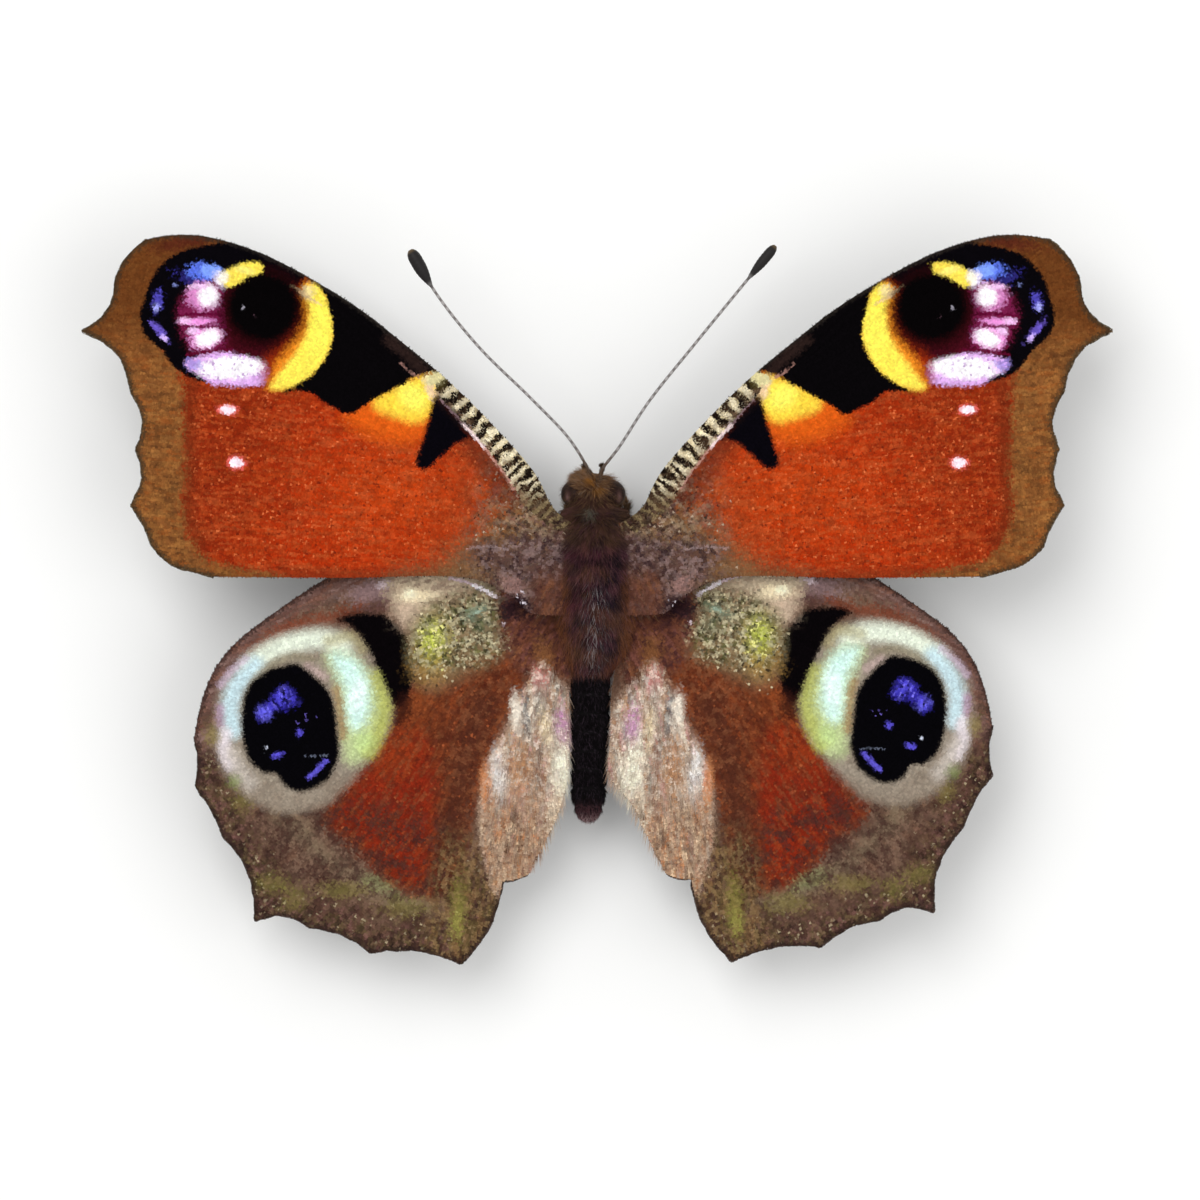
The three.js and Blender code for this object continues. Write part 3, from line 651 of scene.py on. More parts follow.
    # Black blotch of the costa and the patch of yellow behind it
    c.blot([(9.7, 12.5), (10.0, 9.9), (11.2, 9.2), (13.0, 9.5), (14.6, 10.4), (14.2, 11.4), (12.0, 12.5)],
           (222, 96, 22), 0.8, 0.16)
    c.blot([(9.6, 13.2), (9.1, 12.7), (9.5, 11.5), (9.9, 10.75), (10.6, 10.35), (11.6, 10.6), (12.9, 11.1),
            (12.9, 11.9), (11.4, 12.6), (10.4, 13.1)], (252, 216, 70), 0.4, 0.06)
    c.spot((10.75, 11.9), (0.9, 0.7), (254, 246, 104), 30, 0.6, 0.1, 0.9)
    c.spot((9.75, 12.3), (0.26, 0.6), (236, 206, 180), -20, 0.6, 0.3, 0.8)
    c.blot([(20.2, 22.0), (16.0, 19.4), (13.6, 17.8), (12.0, 16.2), (10.4, 14.8), (9.5, 13.5),
            (10.4, 13.2), (12.2, 12.15), (13.1, 11.7), (13.8, 11.25), (14.4, 10.85), (15.2, 11.1),
            (16.1, 11.6), (16.8, 12.15), (17.7, 12.2), (18.4, 12.1), (17.4, 12.65), (16.4, 13.4),
            (15.75, 14.4), (15.45, 15.5), (15.6, 16.7), (16.1, 18.2), (17.6, 19.3), (19.4, 20.2)],
           (6, 4, 6), 0.08, 0.05)
    c.lay(front_rim * 0.8, (48, 42, 38))
    c.line([(7.6, 9.6), (6.6, 8.4), (5.9, 7.4), (5.2, 6.2)], 0.7, (92, 40, 26), 0.8, 0.3, 0.6)
    c.blot([(9.42, 11.75), (8.9, 11.3), (8.4, 10.8), (7.9, 10.2), (7.5, 9.5), (8.2, 9.15), (9.1, 8.4),
            (9.9, 7.7), (10.4, 7.7), (10.6, 8.2), (10.25, 9.2), (9.9, 10.4), (9.65, 11.3)], (6, 4, 10),
           0.14, 0.06)
    paint_costal_bars(c)
    for centre, half in (((21.6, 11.1), (0.62, 0.34)), ((21.1, 8.0), (0.55, 0.4))):
        c.spot(centre, half, (226, 96, 84), 4, 0.25, 0.2)
        c.spot(centre, (half[0] * 0.72, half[1] * 0.72), (255, 236, 246), 4, 0.25, 0.12)


def paint_eyespot(c):
    """The forewing's eyespot: a black field, blue and lilac scales and a dark pupil ringed with yellow."""
    whole = [(22.3, 20.8), (23.6, 20.55), (24.8, 20.1), (25.6, 19.4), (26.15, 18.5), (26.5, 17.4),
             (26.7, 16.5), (26.45, 15.6), (25.9, 15.0), (25.3, 14.4), (24.7, 13.6), (24.1, 13.15),
             (23.0, 12.7), (21.0, 12.5), (19.0, 12.6), (17.6, 13.2), (16.6, 14.8), (16.5, 16.6),
             (17.0, 18.6), (18.6, 20.2), (20.4, 20.9)]
    c.blot(whole, (6, 4, 8), 0.08, 0.05)
    inner = [(21.5, 19.0), (23.0, 18.6), (24.2, 17.7), (24.5, 16.6), (24.2, 15.4), (23.7, 14.5),
             (23.0, 13.7), (21.5, 13.2), (19.5, 13.4), (18.0, 14.6), (17.4, 16.2), (18.0, 18.0),
             (19.8, 19.0)]
    c.blot(inner, (74, 12, 26), 0.4, 0.16)
    bed = [(22.0, 18.5), (23.4, 18.2), (24.3, 17.2), (24.3, 16.0), (23.5, 14.6), (22.2, 14.4), (21.8, 15.4),
           (22.0, 16.6), (21.9, 17.6)]
    c.blot(bed, (122, 30, 74), 0.3, 0.2)
    # Blue scales, dense towards the yellow and scattered over the black
    for spot in (
        ((23.7, 18.7), (0.9, 0.34), (48, 44, 128), 26, 0.4, 0.6, 0.75),
        ((22.95, 19.15), (0.86, 0.48), (92, 118, 230), 8, 0.35, 0.35),
        ((22.6, 19.2), (0.55, 0.36), (132, 166, 255), 5, 0.4, 0.25),
        ((22.0, 18.7), (0.36, 0.46), (236, 228, 255), -30, 0.5, 0.2),
        ((25.65, 17.45), (0.3, 0.56), (84, 76, 190), 12, 0.4, 0.45, 0.9),
        ((25.75, 17.1), (0.18, 0.26), (170, 172, 246), 0, 0.5, 0.25),
        ((25.55, 15.7), (0.74, 0.2), (112, 92, 204), 48, 0.4, 0.35, 0.9),
        ((25.3, 15.3), (0.26, 0.15), (210, 182, 250), 48, 0.5, 0.25),
        ((24.65, 18.4), (0.12, 0.12), (120, 130, 190), 0, 0.5, 0.2),
    ):
        c.spot(*spot)
    # Lilac patches with white middles, parted by crimson lines
    for spot in (
        ((23.0, 17.7), (0.95, 0.8), (214, 136, 196), 4, 0.25, 0.2),
        ((22.72, 17.75), (0.6, 0.64), (255, 248, 255), 0, 0.35, 0.12),
        ((23.35, 18.3), (0.5, 0.16), (238, 196, 236), 0, 0.5, 0.2),
        ((23.35, 16.25), (1.0, 0.2), (234, 150, 218), -4, 0.3, 0.16),
        ((24.1, 16.3), (0.36, 0.2), (246, 196, 240), 0, 0.5, 0.16),
        ((22.85, 15.3), (1.0, 0.66), (232, 150, 216), -20, 0.2, 0.16),
        ((22.75, 15.28), (0.78, 0.48), (255, 250, 255), -24, 0.35, 0.12),
        ((23.6, 15.75), (0.36, 0.24), (246, 200, 244), -30, 0.5, 0.16),
    ):
        c.spot(*spot)
    white = [(24.1, 13.85), (23.2, 14.25), (22.1, 14.45), (21.1, 14.4), (20.2, 14.1), (19.3, 13.7),
             (18.5, 13.15), (19.1, 12.65), (20.2, 12.5), (21.4, 12.5), (22.4, 12.6), (23.1, 13.05)]
    c.blot(white, (226, 178, 238), 0.14, 0.1)
    c.spot((21.4, 13.55), (1.9, 0.66), (255, 251, 255), -3, 0.25, 0.14)
    c.specks(smoothstep(0.0, 0.3, c.depth(white, 0.4)), (170, 120, 190), 0.1)
    c.spot((23.65, 13.75), (0.4, 0.3), (150, 132, 214), 20, 0.5, 0.6, 0.7)
    c.line([(21.8, 16.62), (22.8, 16.74), (24.5, 16.6)], 0.08, (96, 8, 48), 0.5, 0.2, 0.95)
    c.line([(21.7, 15.96), (23.0, 15.96), (24.3, 16.0)], 0.07, (104, 14, 60), 0.5, 0.2, 0.9)
    c.line([(21.3, 14.6), (22.4, 14.56), (24.0, 14.3)], 0.09, (96, 12, 44), 0.5, 0.2, 0.9)
    # Yellow crescent round the pupil, orange and then dark red on its inner side
    c.blot([(17.1, 18.5), (16.3, 18.5), (15.9, 17.8), (15.55, 16.7), (15.42, 15.5), (15.72, 14.4),
            (16.4, 13.35), (17.3, 12.6), (18.4, 12.3), (19.5, 12.4), (19.5, 13.3), (19.4, 14.2),
            (18.7, 15.2), (18.1, 16.4), (17.9, 17.9)], (150, 44, 12), 0.45, 0.1)
    c.blot([(17.0, 18.45), (16.3, 18.5), (15.9, 17.8), (15.55, 16.7), (15.42, 15.5), (15.72, 14.4),
            (16.4, 13.35), (17.3, 12.6), (18.4, 12.3), (19.25, 12.4), (19.0, 13.2), (18.75, 13.9),
            (18.0, 14.9), (17.5, 15.7), (17.25, 16.6), (17.35, 17.8)], (232, 140, 34), 0.35, 0.1)
    c.blot([(16.95, 18.35), (16.3, 18.45), (15.92, 17.8), (15.57, 16.7), (15.45, 15.5), (15.75, 14.4),
            (16.44, 13.35), (17.35, 12.6), (18.3, 12.3), (19.1, 12.4), (18.75, 13.0), (18.2, 13.7),
            (17.6, 14.5), (17.1, 15.3), (16.9, 16.1), (16.85, 16.95), (17.0, 17.7)], (255, 234, 88), 0.26,
           0.05)
    c.spot((16.2, 15.6), (0.6, 1.6), (255, 244, 96), 8, 0.6, 0.1, 0.7)
    c.spot((16.9, 18.0), (0.4, 0.4), (246, 226, 170), 30, 0.5, 0.3, 0.8)
    for k in range(3):
        c.line([(17.9 - 0.35 * k, 18.35 - 0.3 * k), (16.9 - 0.35 * k, 17.75 - 0.25 * k)], 0.07,
               (226, 196, 150), 0.6, 0.3, 0.7)
    for spot in (
        ((19.55, 16.9), (2.5, 2.5), (40, 5, 8), 0, 0.24, 0.06, 0.9),
        ((19.5, 17.1), (2.1, 2.0), (4, 2, 3), 0, 0.18, 0.04),
        ((20.7, 17.05), (0.08, 0.16), (150, 146, 158), 10, 0.5, 0.15, 0.9),
        ((20.05, 16.55), (0.05, 0.12), (84, 60, 70), -20, 0.5, 0.2, 0.8),
    ):
        c.spot(*spot)
    c.blot([(21.85, 18.65), (21.6, 19.25), (20.9, 19.6), (20.2, 19.72), (19.6, 19.6), (19.65, 19.1),
            (20.4, 18.85), (21.2, 18.35), (21.7, 18.3)], (252, 226, 88), 0.12, 0.06)
    c.spot((20.6, 19.25), (0.6, 0.2), (255, 240, 130), 14, 0.5, 0.1, 0.8)
    c.spot((21.85, 18.8), (0.28, 0.4), (252, 244, 226), 20, 0.5, 0.15)


def in_costal_strip(p):
    """How far places lie inside the barred strip along the front edge."""
    line = Path(COSTAL_STRIP, 40).points
    ahead = p[:, 1] > np.interp(p[:, 0], line[::-1, 0], line[::-1, 1])
    low, high = line[-1, 0], line[0, 0]
    return np.where(ahead & (p[:, 0] > low - 1) & (p[:, 0] < high), distance(p, line), -distance(p, line))


def paint_costal_bars(c):
    """The row of cream and black bars along the front edge, and the pale vein behind it."""
    y = c.p[:, 1]
    depth = in_costal_strip(c.p) + c.grain * 0.06
    mask = smoothstep(0.0, 0.1, depth)
    along = c.p @ np.array(BAR_AXIS) + c.wander(0.45, 0.2)
    bars = 0.5 + 0.5 * np.cos(2 * math.pi * np.interp(along, *BAR_COUNTS)) + c.wander(0.3, 0.22)
    far = smoothstep(5.2, 7.0, y)
    c.lay(mask * (0.65 + 0.35 * far), (24, 16, 12))
    bold = 0.65 + 0.35 * np.exp(-(((y - 9.5) / 2.2) ** 2))
    c.lay(mask * smoothstep(0.44, 0.66, bars + c.grain * 0.14) * far * bold, (226, 208, 166))
    c.lay(mask * smoothstep(0.66, 0.95, bars) * far * bold * 0.7, (255, 246, 218))
    inner = mask * smoothstep(0.75, 0.1, depth)
    c.mottle(inner, 0.3, (146, 116, 90), 0.75)
    c.mottle(mask, 0.35, (96, 72, 52), 0.4, 70)
    c.lay(mask * smoothstep(0.5, 0.75, bars + c.grain * 0.4) * (1 - far) * 0.7, (150, 130, 92))
    c.mottle(mask * (1 - smoothstep(4.4, 5.6, y)), 0.3, (58, 44, 34), 0.9, 110)
    for line in (
        ([(9.3, 11.7), (8.6, 11.0), (8.0, 10.3)], 0.26, (18, 10, 12), 0.7, 0.3, 0.9),
        ([(7.9, 10.2), (7.3, 9.5)], 0.16, (48, 18, 16), 0.7, 0.3, 0.8),
        ([(9.2, 11.7), (8.5, 11.0), (7.9, 10.3)], 0.05, (150, 122, 128), 0.6, 0.4, 0.8),
        ([(7.85, 10.25), (7.1, 9.45), (6.6, 8.85)], 0.085, (250, 228, 228), 0.6, 0.3, 0.95),
        ([(6.6, 8.85), (6.1, 8.2), (5.6, 7.6), (4.9, 6.5)], 0.06, (196, 146, 132), 0.6, 0.6, 0.8),
    ):
        c.line(*line)
    # Pale lines where the strip begins
    c.line([(10.2, 13.4), (11.1, 14.3), (12.2, 15.2)], 0.3, (52, 36, 32), 0.8, 0.4, 0.7)
    c.line([(10.3, 12.95), (10.9, 13.3), (11.5, 13.8)], 0.06, (170, 126, 116), 0.7, 0.7, 0.7)
    c.blot([(9.9, 13.2), (9.2, 13.35), (8.9, 13.0), (9.2, 12.65), (9.9, 12.55), (10.2, 12.8)],
           (226, 216, 164), 0.14, 0.12)
    c.spot((9.15, 12.55), (0.2, 0.34), (74, 62, 30), 40, 0.5, 0.3, 0.8)


def paint_hindwing(c, wing):
    """Brown, with a red patch, a dusted margin, streaks towards the tail and the blue eyespot."""
    p = c.p
    x, y = p.T
    everywhere = np.ones(len(p))
    # Brown ground, paler and redder at the front
    c.streaks(everywhere, [(128, 100, 80), (70, 46, 38), (112, 78, 60)], -50, 0.9, 0.22, 0.5)
    c.mottle(everywhere, 0.9, (74, 52, 44), 0.5)
    front = [(12.5, 3.5), (12.5, 1.6), (15.5, 0.2), (18.0, -1.2), (20.2, -3.2), (21.6, -6.0), (22.2, -9.0),
             (24, -9), (24, 4)]
    c.blot(front, (112, 82, 74), 0.5, 0.3)
    in_front = smoothstep(-0.3, 0.3, c.depth(front, 0.5))
    c.streaks(in_front, [(150, 122, 114), (88, 54, 46), (132, 88, 70)], -25, 0.9, 0.16, 0.5)
    c.blot([(13.6, -0.2), (15.5, -0.7), (17.5, -1.0), (19.3, -2.1), (20.6, -3.5), (21.2, -4.9),
            (20.2, -4.2), (18.6, -2.6), (16.5, -1.6), (14.4, -1.1)], (124, 64, 44), 0.4, 0.25, 0.85)
    c.spot((13.0, 0.5), (1.5, 0.6), (150, 122, 124), -10, 0.7, 0.4, 0.75)
    c.spot((12.4, 0.9), (0.45, 0.22), (220, 200, 206), -10, 0.6, 0.4, 0.85)
    c.spot((12.5, -0.3), (1.4, 0.35), (84, 50, 50), -10, 0.7, 0.4, 0.6)
    # Red patch, browner towards the body
    red = [(11.7, -5.6), (13.0, -8.2), (14.3, -9.9), (15.2, -11.4), (16.0, -12.9), (15.0, -13.8),
           (13.4, -15.2), (12.2, -16.6), (10.6, -17.3), (9.0, -17.3), (7.8, -15.4), (7.2, -12.0),
           (6.2, -9.0), (5.0, -6.4), (3.8, -4.4), (3.4, -2.0), (6.5, -2.6), (9.0, -4.0)]
    c.blot(red, (100, 48, 28), 0.5, 0.3)
    in_red = smoothstep(-0.3, 0.3, c.depth(red, 0.4))
    c.mottle(in_red, 0.8, (76, 36, 24), 0.6)
    c.mottle(in_red, 0.25, (150, 76, 40), 0.45, 60)
    c.blot([(11.3, -7.0), (13.0, -9.2), (14.6, -11.3), (15.6, -12.9), (14.0, -14.2), (12.2, -16.2),
            (10.4, -16.9), (9.6, -14.5), (9.4, -11.0), (9.8, -8.6)], (134, 40, 20), 0.7, 0.25)
    c.spot((11.6, -9.0), (1.5, 1.0), (152, 60, 26), -50, 0.7, 0.3, 0.7)
    c.spot((10.6, -6.2), (1.6, 0.9), (142, 72, 36), -40, 0.7, 0.3, 0.7)
    c.streaks(in_red, [(150, 70, 34), (88, 34, 20), (130, 78, 48)], -58, 0.6, 0.14, 0.4)
    c.line([(6.6, -6.2), (7.6, -9.0), (8.2, -12.0), (8.6, -16.8)], 0.75, (78, 42, 30), 0.9, 0.4, 0.75)
    c.mottle(in_red * smoothstep(10.0, 7.5, x), 0.3, (134, 82, 54), 0.5, 90)
    c.mottle(in_red, 0.3, (72, 32, 24), 0.35, 120)
    c.specks(in_red, (160, 84, 48), 0.02)
    # Dusting of the outer margin
    c.blot([(17.4, -12.4), (15.8, -14.6), (13.2, -16.4), (11.2, -17.4), (9.2, -17.9), (9.6, -18.4),
            (12.0, -17.9), (14.6, -16.4), (17.0, -14.4), (19.2, -12.3), (18.4, -11.8)], (132, 116, 92),
           0.6, 0.3, 0.6)
    c.spot((12.6, -16.7), (1.1, 0.4), (136, 144, 96), 25, 0.7, 0.4, 0.5)
    outer = 1 - smoothstep(0.3, 2.8, distance(p, wing.margin) + c.grain * 0.6)
    outer = outer * smoothstep(4.5, 7.0, x)
    in_margin = outer * (1 - smoothstep(-10, -8, y))
    lower = smoothstep(-11.5, -14.0, y - 0.25 * (x - 10)) * smoothstep(5.4, 7.0, x)
    c.mottles(lower, 150, 30, (0.7, (62, 40, 36), 0.7), (0.24, (70, 44, 38), 0.6))
    c.lay(in_margin * 0.85, (82, 56, 46))
    c.mottles(in_margin, 0, 30, (0.55, (44, 28, 26), 0.7), (0.8, (104, 88, 56), 0.4),
              (0.24, (138, 98, 90), 0.5), (0.22, (120, 106, 70), 0.4), (0.26, (34, 22, 22), 0.7))
    c.specks(in_margin, (176, 160, 128), 0.05)
    for centre, half in (
        ((19.0, -16.6), (0.9, 0.5)),
        ((11.2, -18.0), (1.2, 0.5)),
        ((14.9, -17.0), (1.3, 0.4)),
        ((20.6, -11.8), (0.5, 0.5)),
        ((17.6, -17.4), (0.6, 0.6)),
    ):
        c.spot(centre, half, (132, 124, 64), 0, 0.8, 0.5, 0.45)
    # Lengthwise streaks towards the tail
    tail = smoothstep(10.2, 9.0, x + 0.15 * (y + 17)) * smoothstep(-12.5, -16.0, y)
    c.streaks(tail, [(120, 90, 58), (72, 50, 34), (94, 80, 46), (134, 100, 66)], 96, 0.6, 0.16, 0.6)
    c.mottles(tail, 30, 30, (0.24, (58, 36, 28), 0.6), (0.22, (150, 122, 84), 0.5))
    c.spot((8.1, -18.2), (0.45, 1.5), (136, 130, 62), 4, 0.8, 0.5, 0.6)
    c.spot((8.2, -19.0), (0.3, 0.6), (154, 150, 74), 4, 0.7, 0.5, 0.5)
    rim = 1 - smoothstep(0.05, 0.36, distance(p, wing.margin) + c.grain * 0.25)
    c.lay(rim * 0.75, (44, 32, 30))
    paint_ocellus(c)
    paint_hindwing_base(c)


def paint_hindwing_base(c):
    """The pale front edge, the golden green field beside the eyespot, the root and the hairy inner field."""
    p = c.p
    x, y = p.T
    c.blot([(2, 4), (12.6, 4), (12.3, 1.0), (11.4, -1.2), (9.8, -2.0), (6.0, -1.8), (2, -1.6)],
           (148, 126, 106), 0.6, 0.25)
    c.blot([(11.8, 1.2), (11.9, 0.0), (11.0, -0.5), (9.6, 0.0), (8.0, 0.6), (7.0, 1.2), (9.5, 1.6)],
           (206, 186, 158), 0.5, 0.25, 0.9)
    front = smoothstep(-2.2, 0.0, y) * smoothstep(5.5, 7.5, x) * (1 - smoothstep(11.6, 12.6, x))
    c.streaks(front, [(206, 188, 160), (122, 96, 84), (170, 140, 118)], -8, 0.7, 0.16, 0.55)
    c.spot((10.8, -0.7), (0.9, 0.8), (204, 180, 156), 0, 0.7, 0.3, 0.9)
    c.spot((10.4, 0.25), (0.95, 0.4), (240, 224, 188), 0, 0.7, 0.3)
    c.spot((10.9, 0.35), (0.4, 0.28), (254, 246, 214), 0, 0.6, 0.2)
    olive = [(10.4, -1.2), (10.5, -3.4), (9.8, -5.0), (8.0, -4.2), (5.8, -3.0), (4.8, -2.0), (4.8, -0.4),
             (6.6, 0.4), (8.8, -0.2)]
    in_olive = smoothstep(-1.0, 0.6, c.depth(olive, 1.4))
    near = np.exp(-(((x - 9.65) / 0.8) ** 2 + ((y + 2.3) / 1.1) ** 2))
    c.lay(in_olive * 0.75, (144, 122, 88))
    c.spot((9.9, -3.9), (0.9, 0.9), (158, 120, 62), -20, 0.8, 0.4, 0.7)
    c.lay(in_olive * near, (206, 214, 90))
    grainy = in_olive * (1 - 0.7 * near) * smoothstep(-4.6, -3.4, y)
    c.mottle(grainy, 0.34, (96, 104, 58), 0.7, 80)
    c.mottle(grainy, 0.2, (40, 36, 28), 0.8)
    c.mottle(grainy, 0.18, (216, 206, 168), 0.75, 40)
    c.mottle(in_olive, 0.2, (60, 52, 34), 0.45, 120)
    c.specks(in_olive * near, (244, 240, 150), 0.2)
    c.specks(in_olive, (224, 210, 170), 0.06)
    c.specks(in_olive, (40, 34, 28), 0.1)
    c.spot((7.2, -0.75), (0.7, 0.3), (116, 134, 112), -24, 0.8, 0.6, 0.75)
    c.spot((7.0, -0.7), (0.34, 0.09), (170, 192, 172), -24, 0.6, 0.4, 0.7)
    c.spot((6.7, -1.6), (0.5, 0.5), (78, 90, 68), 0, 0.8, 0.7, 0.5)
    c.line([(8.6, 1.3), (7.8, 1.1), (7.0, 0.8), (6.0, 0.25)], 0.08, (216, 192, 200), 0.5, 0.2, 0.9)
    c.line([(7.2, 0.85), (6.6, 0.6), (5.85, 0.15)], 0.1, (255, 244, 248), 0.5, 0.2, 0.95)
    # Rusty brown next to the thorax, with a dark patch at the root of the wing just behind the forewing's
    # hind edge, which is painted shade between the wings
    root = [(2, 2), (5.4, 1.2), (5.7, -0.4), (5.6, -1.8), (5.2, -3.2), (4.4, -4.2), (2.6, -4.6),
            (1.5, -4.2)]
    c.blot(root, (106, 62, 46), 0.7, 0.3)
    in_root = smoothstep(-0.3, 0.3, c.depth(root, 0.5))
    c.streaks(in_root, [(140, 88, 58), (70, 38, 34), (120, 74, 66)], -60, 0.6, 0.15, 0.7)
    c.mottle(in_root, 0.35, (60, 34, 38), 0.7, 30)
    for spot in (
        # Painted shade between the wings, just behind the forewing's hind edge
        ((4.8, -0.5), (1.0, 0.7), (36, 22, 30), 0, 0.6, 0.4, 0.9),
        ((5.0, 0.9), (0.8, 0.6), (150, 106, 104), 30, 0.7, 0.4, 0.8),
        ((5.45, -1.4), (0.1, 0.1), (220, 200, 206), 0, 0.5, 0.2, 0.8),
        ((3.1, -3.2), (0.5, 1.0), (140, 92, 54), -10, 0.7, 0.4, 0.7),
    ):
        c.spot(*spot)
    # The pale hairy field along the body
    c.blot(ANAL_FIELD, (200, 170, 144), 0.4, 0.2)
    in_field = smoothstep(-0.3, 0.3, c.depth(ANAL_FIELD, 0.5))
    c.lay(in_field * 0.6 * np.exp(-(((x - 6.2) / 0.6) ** 2 + ((y + 10.5) / 2.4) ** 2)), (204, 142, 92))
    c.streaks(in_field, [(244, 234, 214), (206, 150, 150), (166, 118, 78), (140, 136, 126)], 98, 1.6, 0.2,
              0.85)
    for centre, half, colour, strength in (
        ((2.1, -9.8), (0.6, 2.0), (255, 252, 230), 1.0),
        ((5.75, -10.2), (0.4, 1.2), (240, 238, 236), 0.9),
        ((4.75, -6.6), (0.3, 1.1), (240, 230, 214), 0.9),
        ((2.1, -7.1), (0.4, 0.9), (206, 146, 196), 0.85),
        ((4.15, -6.8), (0.2, 1.2), (96, 106, 112), 0.9),
        ((3.3, -4.5), (0.4, 0.6), (206, 126, 122), 0.8),
        ((3.35, -5.7), (0.25, 0.8), (150, 140, 130), 0.7),
        ((3.1, -7.3), (0.35, 1.0), (236, 220, 182), 0.8),
        ((4.5, -9.8), (0.6, 1.7), (190, 138, 94), 0.8),
        ((3.4, -9.6), (0.2, 1.8), (140, 100, 76), 0.7),
        ((6.5, -11.0), (0.3, 1.2), (214, 142, 92), 0.8),
    ):
        c.spot(centre, half, colour, -4, 0.7, 0.3, strength)
    c.mottles(in_field, 30, 30, (0.3, (120, 80, 60), 0.5), (0.24, (250, 240, 224), 0.5))
    low = in_field * smoothstep(-10.6, -13.4, y)
    c.lay(low * 0.6, (160, 116, 82))
    c.spot((2.6, -12.4), (0.45, 1.2), (236, 222, 198), 6, 0.7, 0.4, 0.85)
    c.streaks(low, [(230, 200, 164), (96, 64, 44), (190, 128, 84)], 92, 0.9, 0.18, 0.85)
    c.mottles(low, 60, 30, (0.22, (84, 58, 46), 0.6), (0.22, (216, 188, 158), 0.5))


